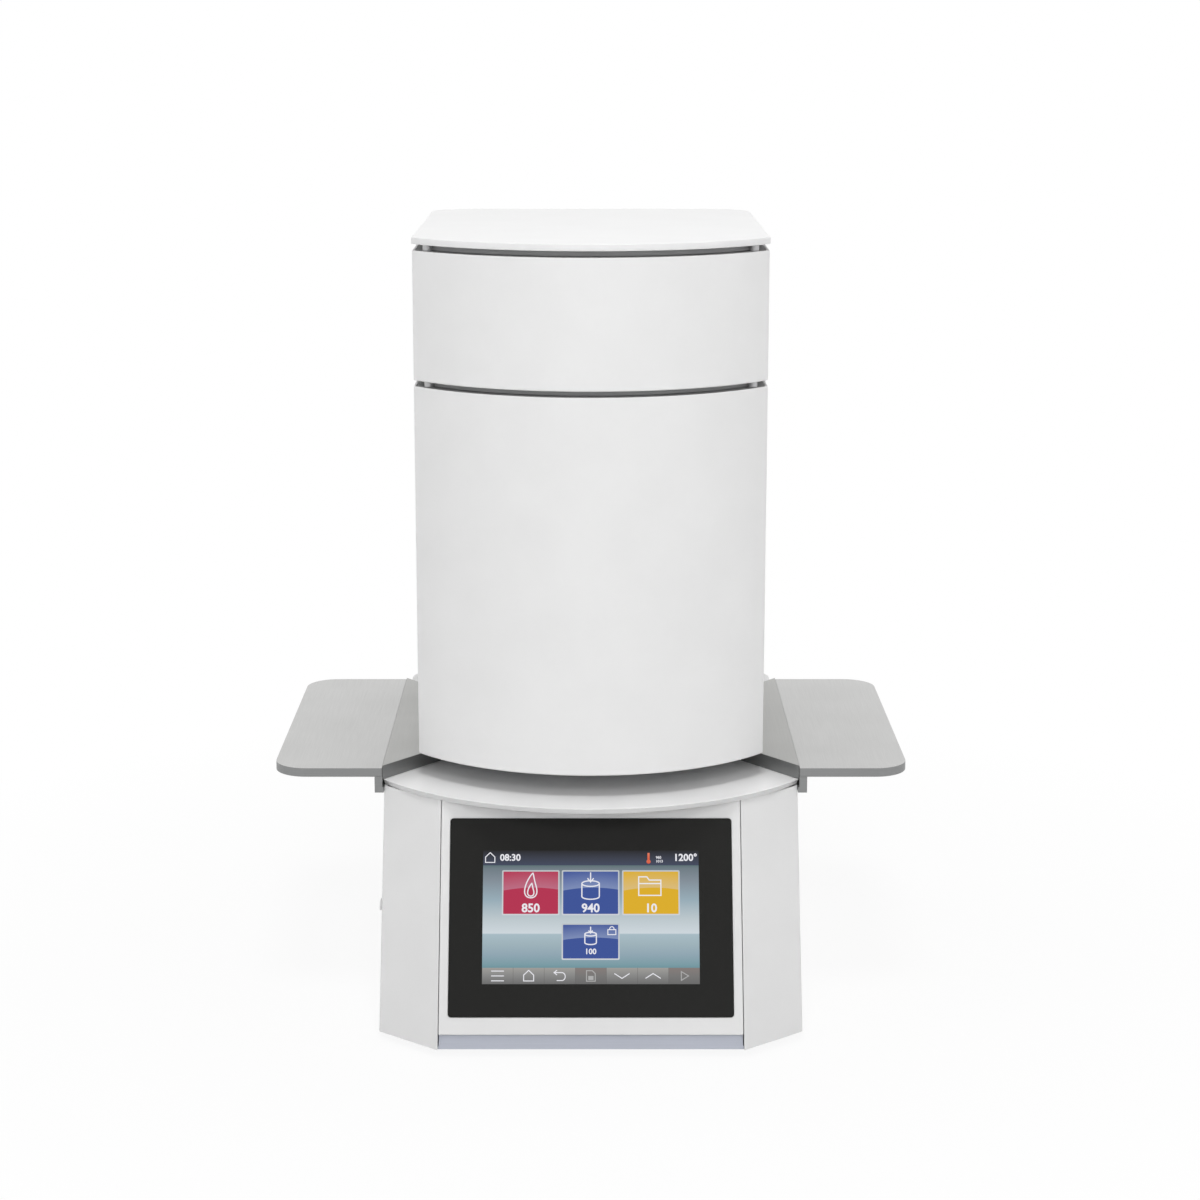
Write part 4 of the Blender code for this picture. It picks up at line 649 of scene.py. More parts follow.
def stroke(points, width, closed=False):
    """Ribbon of even width along a line, as quads: each point moves half the width along the mean normal
    of the stretches before and after it, a little further in a bend."""
    line = np.asarray(points, float)
    steps = unit(np.roll(line, -1, 0) - line)
    after = steps if closed else np.concatenate([steps[:-1], steps[-2:-1]])
    before = np.roll(steps, 1, 0) if closed else np.concatenate([steps[:1], steps[:-1]])
    normal = np.stack([-after[:, 1], after[:, 0]], -1)
    mean = unit(normal + np.stack([-before[:, 1], before[:, 0]], -1))
    side = mean * width / 2 / np.maximum((mean * normal).sum(1, keepdims=True), 0.5)
    left, right = line + side, line - side
    count = len(line) if closed else len(line) - 1
    ahead = np.roll(np.arange(len(line)), -1)
    return [[left[i], left[ahead[i]], right[ahead[i]], right[i]] for i in range(count)]


def ring(centre, wide, tall, start=0.0, end=360.0, steps=28):
    """Points of an arc of an ellipse, in degrees."""
    turn = np.radians(np.linspace(start, end, steps))
    return np.stack([centre[0] + wide / 2 * np.cos(turn), centre[1] + tall / 2 * np.sin(turn)], -1)


def at(centre, size, points):
    """Points of a sign drawn in a square of side 2 about 0, at a place and size."""
    return np.asarray(centre) + np.asarray(points, float) * size / 2


def numbers(text, size, centre):
    """Triangles of plain upright figures, with their middle at a place."""
    curve = bpy.data.curves.new("figures", "FONT")
    curve.body = text
    curve.size = size
    curve.offset = size * 0.026
    curve.resolution_u = 3
    curve.align_x = "CENTER"
    curve.align_y = "CENTER"
    holder = bpy.data.objects.new("figures", curve)
    bpy.context.scene.collection.objects.link(holder)
    graph = bpy.context.evaluated_depsgraph_get()
    mesh = bpy.data.meshes.new_from_object(holder.evaluated_get(graph))
    places = np.array([v.co[:2] for v in mesh.vertices]) + np.asarray(centre)
    outlines = [places[list(face.vertices)] for face in mesh.polygons]
    bpy.data.objects.remove(holder)
    bpy.data.meshes.remove(mesh)
    return outlines


LINE = 0.00085
THIN = 0.00065
signs = []


def sign(centre, size, points, width=THIN, closed=False):
    """Add a line to the signs, from points in a square of side 2 about 0."""
    signs.extend(stroke(at(centre, size, points), width, closed))


# Flame: a drop with a curled tip, and a smaller one in it
turn = np.linspace(0, 1, 40)
drop = np.stack([np.sin(2 * np.pi * turn) * (0.30 + 0.32 * np.sin(np.pi * turn) ** 2),
                 1 - 1.95 * np.sin(np.pi * turn) ** 1.4], -1)
drop[:, 0] += 0.16 * (drop[:, 1] > 0) * drop[:, 1] ** 2
red_middle = ((tiles["red"][0] + tiles["red"][1]) / 2, 0.1188)
sign(red_middle, 0.0185, drop[:-1], LINE, True)
sign((red_middle[0], red_middle[1] - 0.0030), 0.0095, drop[:-1], LINE, True)


def cylinder_sign(centre, size, width):
    """Press ring: an ellipse over a drum, with an arrow that points down into it."""
    sign(centre, size, ring((0, 0.20), 1.24, 0.40)[:-1], width, True)
    drum = ring((0, -0.72), 1.24, 0.40, 180, 360, 16)
    sign(centre, size, np.concatenate([[(-0.62, 0.20)], drum, [(0.62, 0.20)]]), width)
    sign(centre, size, [(-0.22, 0.58), (0, 0.32), (0.22, 0.58)], width)
    sign(centre, size, [(0, 0.40), (0, 1)], width)


blue_middle = (tiles["blue"][0] + tiles["blue"][1]) / 2
cylinder_sign((blue_middle, 0.1184), 0.0205, LINE)
cylinder_sign((blue_middle, 0.0822), 0.0135, LINE)
# Folder, padlock and the figures under the signs
gold_middle = (tiles["gold"][0] + tiles["gold"][1]) / 2
folder = [(-0.95, -0.80), (-0.95, 0.80), (-0.25, 0.80), (-0.05, 0.52), (0.95, 0.52), (0.95, -0.80)]
sign((gold_middle - 0.0008, 0.1186), 0.0170, folder, LINE, True)
sign((gold_middle - 0.0008, 0.1186), 0.0170, [(-0.95, 0.22), (0.95, 0.22)], LINE)
lock = (0.0152, 0.0858)
sign(lock, 0.0058, [(-1, -0.9), (1, -0.9), (1, 0.35), (-1, 0.35)], closed=True)
sign(lock, 0.0058, ring((0, 0.345), 1.17, 1.52, 0, 180, 14))
TILE_FIGURES = 0.0088
TILE_LINE = 0.1023
for text, middle in (("850", red_middle[0]), ("940", blue_middle), ("10", gold_middle)):
    signs += numbers(text, TILE_FIGURES, (middle, TILE_LINE))
signs += numbers("100", 0.0056, (blue_middle, 0.0708))
# Head line: house, clock time and temperature
HEAD_MIDDLE = 0.1394
house = [(-0.85, -0.85), (-0.85, 0.15), (0, 0.95), (0.85, 0.15), (0.85, -0.85)]
sign((-0.0735, HEAD_MIDDLE), 0.0080, house, closed=True)
for text, size, across, up in (("08:30", 0.0068, -0.0588, 0), ("1200°", 0.0072, 0.0690, 0),
                               ("960", 0.0026, 0.0494, 0.0002), ("1013", 0.0026, 0.0500, -0.0026)):
    signs += numbers(text, size, (across, HEAD_MIDDLE + up))
# Keys: list, house, turn back, card, down and up
KEY_MIDDLE = (SCREEN_LOW + BAR_TOP) / 2


def key_centre(k):
    """Middle of a key."""
    return (key_wide * (k + 0.5) - SCREEN_HALF, KEY_MIDDLE)


for row in (-0.8, 0, 0.8):
    sign(key_centre(0), 0.0088, [(-1.05, row), (1.05, row)])
sign(key_centre(1), 0.0085, house, closed=True)
back_turn = np.concatenate([[(-0.9, 0.55)], ring((0.35, -0.1), 1.1, 1.3, 90, -90, 12), [(-0.5, -0.75)]])
sign(key_centre(2), 0.0088, back_turn)
sign(key_centre(2), 0.0088, [(-0.45, 0.95), (-0.95, 0.55), (-0.45, 0.15)])
for k, way in ((4, -1), (5, 1)):
    sign(key_centre(k), 0.0100, [(-1.1, -0.35 * way), (0, 0.35 * way), (1.1, -0.35 * way)])
foil("screen_signs", signs, 4, graded("screen_signs", [(0.0, (232, 232, 238)), (1.0, (232, 232, 238))]))
card = [(-0.75, -0.9), (-0.75, 0.9), (0.25, 0.9), (0.75, 0.4), (0.75, -0.9)]
dim = stroke(at(key_centre(3), 0.0084, card), THIN, True)
dim += [at(key_centre(3), 0.0084, [(-0.45, -0.7), (0.45, -0.7), (0.45, 0.0), (-0.45, 0.0)])]
dim += stroke(at(key_centre(6), 0.0084, [(-0.5, -0.75), (-0.5, 0.75), (0.75, 0)]), THIN, True)
foil("screen_dim_signs", dim, 4,
     graded("screen_dim_signs", [(0.0, (172, 172, 172)), (1.0, (172, 172, 172))]))
bulb = [ring((0.0421, 0.1366), 0.0030, 0.0030)[:-1], field(0.1369, 0.1430, 0.0413, 0.0429)]
foil("screen_thermometer", bulb, 4,
     graded("screen_thermometer", [(0.0, (214, 84, 52)), (1.0, (226, 124, 96))]))


# Base plate: 4 mm sheet over the whole base, with a bowed front, broken arrises, and holes for the lift.

def bowed_front(inset, half, radius, corner, bow_steps=96, corner_steps=8):
    """Front of a plan from left to right, for an array of insets: a corner arc, the bow about the chamber
    axis, and a corner arc. Insets shorten each radius, and the corner centre stays on the line where both
    arcs touch."""
    inset = np.asarray(inset, float).reshape(-1, 1)
    round_off = np.maximum(corner - inset, 0.0006)
    x = half - inset - round_off
    y = -np.sqrt((radius - inset - round_off) ** 2 - x ** 2)
    join = np.arctan2(y, -x) + 2 * np.pi
    share = np.linspace(0, 1, corner_steps + 1)[None]
    left = np.pi + (join - np.pi) * share
    bow = join + (3 * np.pi - 2 * join) * np.linspace(0, 1, bow_steps + 1)[None, 1:-1]
    right = 3 * np.pi - join + (join - np.pi) * share
    reach = radius - inset
    across = [-x + round_off * np.cos(left), reach * np.cos(bow), x + round_off * np.cos(right)]
    along = [y + round_off * np.sin(left), reach * np.sin(bow), y + round_off * np.sin(right)]
    return np.stack([np.concatenate(across, 1), np.concatenate(along, 1)], -1)


def squared_back(inset, half, back, corner, corner_steps=12, hold=0.002):
    """Back of a plan from right to left: two quarter circles with a straight run between them."""
    inset = np.asarray(inset, float).reshape(-1, 1)
    round_off = np.maximum(corner - inset, 0.0006)
    x, y = half - inset - round_off, back - inset - round_off
    turn = np.linspace(0, np.pi / 2, corner_steps + 1)[None]
    right = np.stack([x + round_off * np.cos(turn), y + round_off * np.sin(turn)], -1)
    left = np.stack([-x - round_off * np.sin(turn), y + round_off * np.cos(turn)], -1)
    before = right[:, :1] - (0, hold)
    between = np.stack([right[:, -1] - (hold, 0), left[:, 0] + (hold, 0)], 1)
    after = left[:, -1:] - (0, hold)
    return np.concatenate([before, right, between, left, after], 1)


def plan_rings(profile, plan, axis_y):
    """Rings of a plate or shell: a plan taken at each inset of the profile, set at its height."""
    profile = np.asarray(profile, float)
    flat = plan(profile[:, 0])
    height = np.broadcast_to(profile[:, 1, None, None], flat.shape[:2] + (1,))
    return np.concatenate([flat + (0, axis_y), height], -1)


def carve(target, cutters):
    """Cut closed shapes out of an object, keep the result as its mesh, and drop the cutters."""
    for cutter in cutters:
        modifier = target.modifiers.new("cut", "BOOLEAN")
        modifier.operation = "DIFFERENCE"
        modifier.solver = "EXACT"
        modifier.object = cutter
        mesh = bpy.data.meshes.new_from_object(target.evaluated_get(bpy.context.evaluated_depsgraph_get()))
        target.modifiers.clear()
        target.data = mesh
        bpy.data.objects.remove(cutter)
    target.data.set_sharp_from_angle(angle=np.radians(32))


def finish_edges(piece, finish, upright=0.5):
    """Give the faces of a piece that stand up a second finish; each use here gives them a darker copy of the
    first, which is painted shade.
    """
    piece.data.materials.append(finish)
    last = len(piece.data.materials) - 1
    slots = [last * (abs(face.normal.z) < upright) for face in piece.data.polygons]
    piece.data.polygons.foreach_set("material_index", slots)


# Tops of the base plate and the lid: a lighter copy of the white coat, painted light on the upward faces.
top_coat_painted_light = powder_coat("top_powder_coat_painted_light", (241, 241, 241), 0.40)
PLATE_RADIUS = 0.1936
PLATE_CORNER = 0.002
PLATE_EDGE = 0.0005
PLATE_UNDERCUT = 0.0014
# Edge of the base plate: a darker copy of the coat, painted shade on its upright faces.
painted_shade_edge = powder_coat("plate_edge_painted_shade", (212, 212, 212), 0.42)
low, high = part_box("base_top_plate")
table_low, table_high, table_middle, table_radius = round_box("firing_table")
axis_y = table_middle.y


def plate_plan(inset):
    """Plan of the base plate."""
    front = bowed_front(inset, high.x, PLATE_RADIUS, PLATE_CORNER)
    return np.concatenate([front, squared_back(inset, high.x, high.y - axis_y, PLATE_CORNER)], 1)


profile = edge_profile(low.z, high.z, PLATE_EDGE, 4)
profile[:, 0] += PLATE_UNDERCUT * (high.z - profile[:, 1]) / (high.z - low.z)
plate = shape("bowed_plate", plan_rings(profile, plate_plan, axis_y), top_coat_painted_light)
HOLE_GAP = 0.0005
HOLE_OVERRUN = 0.003
cutters = []
for name in ("guide_column_left", "guide_column_right", "lift_spindle"):
    centre, radius = round_box(name)[2:]
    span = [(radius + HOLE_GAP, low.z - HOLE_OVERRUN), (radius + HOLE_GAP, high.z + HOLE_OVERRUN)]
    cutters.append(shape("cutter", turned(span, centre), top_coat_painted_light))
carve(plate, cutters)
# The upright edge of the plate takes the darker copy: painted shade.
finish_edges(plate, painted_shade_edge)
settle(plate, "base", "base_top_plate")


# Trays: folded stainless sheet on each side, with round outer corners, a turned down rim and a rail that
# hooks beside the base plate. A slab on the plate carries each one, with a slanted edge at both ends.

tray_steel = surfaced("tray_steel", brushed, (1500, 22, 1500), 0.000006, (208, 208, 207), 0.50, 1.0)
# Slab: a darker copy of the tray steel, painted shade where the trays meet the hood.
slab_steel_painted_shade = surfaced("slab_steel_painted_shade", brushed, (1500, 22, 1500), 0.000006, (188, 188, 186), 0.50, 1.0)
# Rims, rails and slab edges: a much darker copy of the tray steel, painted shade on the upright faces.
rim_steel_painted_shade = surfaced("rim_steel_painted_shade", brushed, (22, 22, 2200), 0.000006, (146, 147, 147), 0.46, 0.9)
TRAY_SHEET = 0.0015
TRAY_RIM = 0.0061
TRAY_BEND = 0.0004
TRAY_RISE = 0.0009
TRAY_CORNER = 0.025
RAIL_WIDE = 0.0057
SLAB_EDGE = 0.0002
SEAM_LEFT = 0.00005
TOUCH = 0.0003
LIP = 0.0003
SLAB_SLANT = np.radians(52)
plate_low, plate_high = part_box("base_top_plate")
cover_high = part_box("right_side_cover")[1]


def drawn_out(section, ends):
    """Rings of a bar: its section at each end along the depth."""
    return [np.stack([section[:, 0], np.full(len(section), y), section[:, 1]], -1) for y in ends]


for name, side in (("left", -1), ("right", 1)):
    low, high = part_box(name + "_tray")
    near, far = side * (plate_high.x + TOUCH), max((low.x, high.x), key=abs)
    corners = [(near, low.y), (far, low.y), (far, high.y), (near, high.y)]
    turn = np.linspace(0, np.pi / 2, 5)
    top = high.z + TRAY_RISE
    bend = [(TRAY_BEND * (1 - np.cos(a)), top - TRAY_BEND + TRAY_BEND * np.sin(a)) for a in turn]
    rim = high.z - TRAY_RIM
    profile = [(TRAY_BEND + 0.001, top)] + bend[::-1] + [(0, rim + LIP), (LIP, rim), (TRAY_SHEET - LIP, rim),
               (TRAY_SHEET, rim + LIP), (TRAY_SHEET, top - TRAY_SHEET - 0.0005),
               (TRAY_SHEET + 0.0005, top - TRAY_SHEET)]
    rings = stacked(corners, [0.0006, TRAY_CORNER, TRAY_CORNER, 0.0006], profile, 10)
    tray = shape("tray_pan_" + name, rings, tray_steel)
    # The tray's upright rim takes the darker rim steel: painted shade.
    finish_edges(tray, rim_steel_painted_shade)
    settle(tray, "base", name + "_tray")
    # Rail: a hooked bar whose foot reaches in under the base plate, drawn along the tray
    plate_side, hook = side * (plate_high.x + TOUCH), side * (cover_high.x + TOUCH)
    section = [(plate_side + side * RAIL_WIDE, rim), (plate_side + side * RAIL_WIDE, low.z), (hook, low.z),
               (hook, plate_low.z - TOUCH), (plate_side, plate_low.z - TOUCH), (plate_side, rim)]
    rings = drawn_out(filleted(section, 0.00025, 3, 0.0004), (low.y, high.y))
    rail = shape("tray_rail_" + name, rings, rim_steel_painted_shade)
    settle(rail, "base")
    edge_line = near
    low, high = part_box(name + "_tray_mount")
    near, far = min((low.x, high.x), key=abs), edge_line - side * SEAM_LEFT
    run = abs(far - near) * np.tan(SLAB_SLANT)
    slab_corners = [(far, low.y), (far, high.y), (near, high.y - run), (near, low.y + run)]
    rings = stacked(slab_corners, SLAB_EDGE, edge_profile(low.z, high.z + TRAY_RISE, SLAB_EDGE))
    slab = shape("tray_slab_" + name, rings, slab_steel_painted_shade)
    finish_edges(slab, rim_steel_painted_shade)
    settle(slab, "base", name + "_tray_mount")


# Rear housing: a bent and welded white cover over the lift and the connectors, round at its back corners,
# with a softly rounded top and a window at the back for the connector sheet.

white_coat = powder_coat("white_powder_coat", (231, 231, 231), 0.40)
HOUSING_WALL = 0.0025
HOUSING_ROUND = 0.0015
HOUSING_CORNER = 0.018
low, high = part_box("rear_housing")


def housing_plan(inset):
    """Plan of the rear housing: square in front, round behind."""
    inset = np.asarray(inset, float).reshape(-1, 1)
    side, front = high.x - inset, low.y - axis_y + inset
    start = np.stack([np.concatenate([-side, side], 1), np.concatenate([front, front], 1)], -1)
    return np.concatenate([start, squared_back(inset, high.x, high.y - axis_y, HOUSING_CORNER)], 1)


shoulder = [(HOUSING_ROUND * (1 - np.cos(a)), high.z + HOUSING_ROUND * (np.sin(a) - 1))
            for a in np.linspace(0, np.pi / 2, 7)]
profile = [(0, low.z), (0, high.z - HOUSING_ROUND - 0.002)] + shoulder + [(HOUSING_ROUND + 0.001, high.z)]
housing = shape("rear_cover_box", plan_rings(profile, housing_plan, axis_y), white_coat)


def mouth_plan(inset):
    """Plan of the space under the base plate, which runs out at the front."""
    whole = housing_plan(inset)
    return np.concatenate([whole[:, :2] - (0, 2 * HOUSING_WALL), whole[:, 2:]], 1)


cutters = []
for plan, top in ((housing_plan, high.z - HOUSING_WALL), (mouth_plan, plate_high.z + TOUCH)):
    span = [(HOUSING_WALL, low.z - HOLE_OVERRUN), (HOUSING_WALL, top)]
    cutters.append(shape("cutter", plan_rings(span, plan, axis_y), white_coat))
REAR_MIDDLE = 0.088
WINDOW_LAP = 0.010
panel_low, panel_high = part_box("rear_panel")
rear_line = high.y


def on_rear(points):
    """Points given as right, up and out, seen from behind, as points in space."""
    right, up, out = np.moveaxis(np.asarray(points, float), -1, 0)
    return np.stack([-right, rear_line + out, REAR_MIDDLE + up], -1)


window_size = (panel_high.x - panel_low.x - 2 * WINDOW_LAP, panel_high.z - panel_low.z - 2 * WINDOW_LAP)
span = [(0, -HOUSING_WALL - HOLE_OVERRUN), (0, HOLE_OVERRUN)]
opening = shape("cutter", stacked(rectangle(*window_size), 0.006, span, 6, 0), white_coat, place=on_rear)
carve(housing, cutters + [opening])
settle(housing, "base", "rear_housing")


# Connector sheet: dark coated, behind the window, with the mains inlet, fuse, switch, hose nipples and fan
# fixed in it from outside. The inlet has three blades in its recess.

dark_coat = powder_coat("dark_powder_coat", (92, 92, 94), 0.46)
black_plastic = surfaced("black_plastic", moulded, 1800, 0.00002, (38, 38, 40), 0.44)
dress(dark_coat, "rear_panel")
nickel = surfaced("nickel", ground, 900, 0.000002, (196, 193, 186), 0.24, 1.0)
FLANGE = 0.0025
FLANGE_EDGE = 0.0005
BODY_BACK = 0.022
BORE_CORNER = 0.0008
MOUTH_CORNER = 0.0010
FACE_CORNER = 0.0020
FLANGE_CORNER = 0.0022
BODY_CORNER = 0.0015
RECESS_DEPTH = 0.016
INLET_BORE = (0.0225, 0.0155)
INLET_BODY = (0.027, 0.020)
SWITCH_BORE = (0.0132, 0.0220)
SWITCH_BODY = (0.0162, 0.0250)
SWITCH_DEPTH = 0.0138
SWITCH_BACK = 0.0140


def rear_place(name):
    """Middle of a connector seen from behind: right and up from the middle of the window."""
    inner, outer_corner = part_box(name)
    return (-(inner.x + outer_corner.x) / 2, (inner.z + outer_corner.z) / 2 - REAR_MIDDLE)


def moulded_socket(name, cad, bore, body, floor_depth, back_depth):
    """Moulded socket, from the floor of its recess out over the flange and back along the body. Gives its
    middle and how far its face stands out."""
    centre = rear_place(cad)
    low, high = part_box(cad)
    flange = np.array((high.x - low.x, high.z - low.z))
    face = high.y - rear_line
    spans = [(bore, BORE_CORNER, face - floor_depth), (bore, BORE_CORNER, face - FLANGE_EDGE),
             (np.add(bore, FLANGE_EDGE), MOUTH_CORNER, face),
             (flange - FLANGE_EDGE * 2, FACE_CORNER, face),
             (flange, FLANGE_CORNER, face - FLANGE_EDGE), (flange, FLANGE_CORNER, face - FLANGE),
             (body, BODY_CORNER, face - FLANGE), (body, BODY_CORNER, face - back_depth)]
    rings = [level(filleted(rectangle(*size, centre), corner, 6), height) for size, corner, height in spans]
    made = shape(name, rings, black_plastic, place=on_rear)
    settle(made, "base", cad)
    return centre, face


centre, face = moulded_socket("inlet_socket", "mains_inlet", INLET_BORE, INLET_BODY, RECESS_DEPTH,
                              BODY_BACK)
BLADE = (0.0020, 0.0040)
BLADE_REACH = 0.0130
BLADE_PLACES = {"line": (-0.007, -0.0015), "earth": (0.0, 0.0025), "neutral": (0.007, -0.0015)}
for name, (right, up) in BLADE_PLACES.items():
    spot = (centre[0] + right, centre[1] + up)
    corners = rectangle(*BLADE, spot)
    profile = edge_profile(face - RECESS_DEPTH - 0.001, face - RECESS_DEPTH + BLADE_REACH, 0.0005,
                           hold=0.0002)
    rings = stacked(corners, 0.0003, profile, 3, 0.0002)
    blade = shape("inlet_blade_" + name, rings, nickel, place=on_rear)
    settle(blade, "base")

centre, face = moulded_socket("switch_frame", "switch_bezel", SWITCH_BORE, SWITCH_BODY, SWITCH_DEPTH,
                              SWITCH_BACK)

# Rocker: a saddle between two raised ends, tipped towards its upper end, with the figures 1 and 0
TIP = np.radians(7)
ROCKER_HALF = 0.0100
ROCKER_WIDE = 0.0060
ROCKER_DIP = 0.0022
ROCKER_CREST = 0.0046
ROCKER_SIDE = 0.0070
PRINT_LIFT = 0.00003


def tipped(points):
    """Points of the rocker, turned about the axis across its middle."""
    right, up, out = np.moveaxis(np.asarray(points, float), -1, 0)
    turned_up = up * np.cos(TIP) - out * np.sin(TIP)
    turned_out = up * np.sin(TIP) + out * np.cos(TIP)
    return on_rear(np.stack([right + centre[0], turned_up + centre[1], turned_out + face], -1))


def saddle(along):
    """Height of the rocker's face at a share of its half length."""
    return ROCKER_DIP + (ROCKER_CREST - ROCKER_DIP) * np.abs(along) ** 1.6


along = np.linspace(-1, 1, 25)
section = np.concatenate([[(-0.6 * ROCKER_HALF, -ROCKER_SIDE), (-ROCKER_HALF, 0)],
                          np.stack([along * ROCKER_HALF, saddle(along)], -1),
                          [(ROCKER_HALF, 0), (0.6 * ROCKER_HALF, -ROCKER_SIDE)]])
across = np.array([-1, -0.97, -0.9, 0, 0.9, 0.97, 1]) * ROCKER_WIDE
shrink = np.array([0.93, 0.98, 1, 1, 1, 0.98, 0.93])[:, None]
rings = np.stack([across[:, None] + 0 * section[None, :, 0], shrink * section[None, :, 0],
                  shrink * section[None, :, 1]], -1)
rocker = shape("switch_rocker", rings, black_plastic, place=tipped, sharp=40)
settle(rocker, "switch", "power_switch")
white_print = surfaced("white_print", moulded, 3000, 0.000004, (226, 226, 224), 0.5)
mark_points, mark_faces = [], []
for text, up in (("1", 0.0052), ("0", -0.0052)):
    for outline in numbers(text, 0.0050, (0, up)):
        lift = saddle(outline[:, 1] / ROCKER_HALF) + PRINT_LIFT
        mark_faces.append(list(range(len(mark_points), len(mark_points) + len(outline))))
        mark_points += np.column_stack([outline, lift]).tolist()
marks = filled("rocker_figures", tipped(mark_points), mark_faces, white_print)
skin = marks.modifiers.new("thickness", "SOLIDIFY")
skin.thickness = 2 * PRINT_LIFT
settle(marks, "switch")

# Fuse holder with a slotted screw cap
FUSE_HIGH = 0.0095
FUSE_BODY = 0.0060
FUSE_CAP = 0.0064
FUSE_EDGE = 0.0006
FUSE_DIMPLE = 0.0042
FUSE_SLOT = (0.0095, 0.0013)
centre = rear_place("fuse_holder")
low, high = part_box("fuse_holder")
flange_radius = (high.x - low.x) / 2
cap_face = high.y - rear_line
seat = cap_face - FUSE_HIGH
profile = [(FUSE_BODY, low.y - rear_line), (FUSE_BODY, seat), (flange_radius, seat),
           (flange_radius, seat + FLANGE - FUSE_EDGE), (flange_radius - FUSE_EDGE, seat + FLANGE),
           (FUSE_CAP, seat + FLANGE), (FUSE_CAP, cap_face - FUSE_EDGE), (FUSE_CAP - FUSE_EDGE, cap_face),
           (FUSE_DIMPLE, cap_face), (FUSE_DIMPLE - 0.0002, cap_face - 0.0008)]
fuse = shape("fuse_cap", turned(profile, centre, 48), black_plastic, place=on_rear)
slit = stacked(rectangle(*FUSE_SLOT, centre), 0.0002, [(0, cap_face - 0.0018), (0, cap_face + 0.002)], 2, 0)
carve(fuse, [shape("cutter", slit, black_plastic, place=on_rear)])
settle(fuse, "base", "fuse_holder")

# Hose nipples: a hexagon nut, barbs and a bore, in brass for the pump and in steel for the compressed air
brass = surfaced("brass", ground, 2500, 0.000004, (206, 170, 96), 0.26, 1.0)
NUT_HIGH = 0.005
NUT_BORE = 0.0037
NUT_BLUNT = 1.06
NUT_CHAMFER = 0.0005
BARB = 0.0025
BARB_RISE = 0.0010
SHANK = 0.0055
TUBE = 0.0036
NIPPLE_BORE = 0.0016
NIPPLE_DEPTH = 0.009
BARB_STEP = 0.0002
BARB_FLAT = 0.0005


def hexagon(flat, sides):
    """Radii of a hexagon once round: the flat / cos of the turn from the middle of its side."""
    return flat / np.cos(np.mod(full_turn(sides), np.pi / 3) - np.pi / 6)


for name, finish, slot in (("vacuum_port", brass, "brass"), ("air_port", ground_steel, "polished_steel")):
    centre = rear_place(name)
    low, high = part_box(name)
    tip = high.y - rear_line
    seat = -HOUSING_WALL
    nut = seat + NUT_HIGH
    profile = [(SHANK, low.y - rear_line), (SHANK, seat), (TUBE, seat), (TUBE, nut)]
    for start in (tip - 2 * BARB, tip - BARB):
        profile += [(TUBE, start), (TUBE + BARB_RISE, start + BARB_STEP),
                    (TUBE + BARB_RISE, start + BARB_FLAT), (TUBE, start + BARB - BARB_STEP)]
    profile += [(NIPPLE_BORE, tip), (NIPPLE_BORE, tip - NIPPLE_DEPTH)]
    nipple = shape(name + "_nipple", turned(profile, centre, 48), finish, place=on_rear)
    settle(nipple, "base", name)
    flat = (high.x - low.x) / 2 * np.cos(np.pi / 6)
    sharp_sides = hexagon(flat, 48)
    blunt_sides = np.minimum(sharp_sides, flat * NUT_BLUNT)
    spans = [(NUT_BORE, seat), (NUT_BORE, nut), (blunt_sides, nut), (sharp_sides, nut - NUT_CHAMFER),
             (sharp_sides, seat + NUT_CHAMFER), (blunt_sides, seat)]
    hex_nut = shape(name + "_nut", turned(spans, centre, 48), finish, True, on_rear)
    settle(hex_nut, "base")


# Fan: a square frame with a round duct, seven swept blades round a hub, and a wire guard of rings on spokes.

DUCT = 0.0285
DUCT_MOUTH = 0.0008
DUCT_SHEET = 0.0014
FRAME_EDGE = 0.0004
FRAME_PLATE = 0.003
centre = rear_place("fan_frame")
low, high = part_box("fan_frame")
fan_side = high.x - low.x
front, back = high.y - rear_line, low.y - rear_line
turn = full_turn(96)
square = np.minimum(1 / np.maximum(np.abs(np.cos(turn)), np.abs(np.sin(turn))), 1.33) * fan_side / 2
duct_wall = DUCT + DUCT_SHEET
spans = [(DUCT + DUCT_MOUTH, front), (square - FRAME_EDGE, front), (square, front - FRAME_EDGE),
         (square, front - FRAME_PLATE), (duct_wall, front - FRAME_PLATE - FRAME_EDGE),
         (duct_wall, back + FRAME_PLATE + FRAME_EDGE), (square, back + FRAME_PLATE),
         (square, back), (DUCT, back), (DUCT, front - DUCT_MOUTH)]
fan_case = shape("fan_duct", turned(spans, centre, 96), black_plastic, True, on_rear)
settle(fan_case, "base", "fan_frame")
SPIDER = 0.003
HUB = 0.0125
HUB_ROUND = 0.0012
HUB_DIMPLE = 0.005
profile = [(HUB, back), (HUB, back + SPIDER)]
boss = shape("fan_boss", turned(profile, centre, 48), black_plastic, place=on_rear)
settle(boss, "base")
STRUT_HALF = 0.002
STRUT_LAP = 0.001


def bar(degrees, inner, outer, half):
    """Corners of a straight bar that runs outwards from the middle of the fan."""
    way = np.array((np.cos(np.radians(degrees)), np.sin(np.radians(degrees))))
    wide = np.array((-way[1], way[0])) * half
    return [centre + way * inner - wide, centre + way * outer - wide, centre + way * outer + wide,
            centre + way * inner + wide]


for arm in range(3):
    corners = bar(30 + 120 * arm, HUB - STRUT_LAP, DUCT + STRUT_LAP, STRUT_HALF)
    rings = stacked(corners, 0.0003, [(0, back), (0, back + SPIDER)], 3, 0)
    strut = shape(f"fan_strut_{arm}", rings, black_plastic, place=on_rear)
    settle(strut, "base")

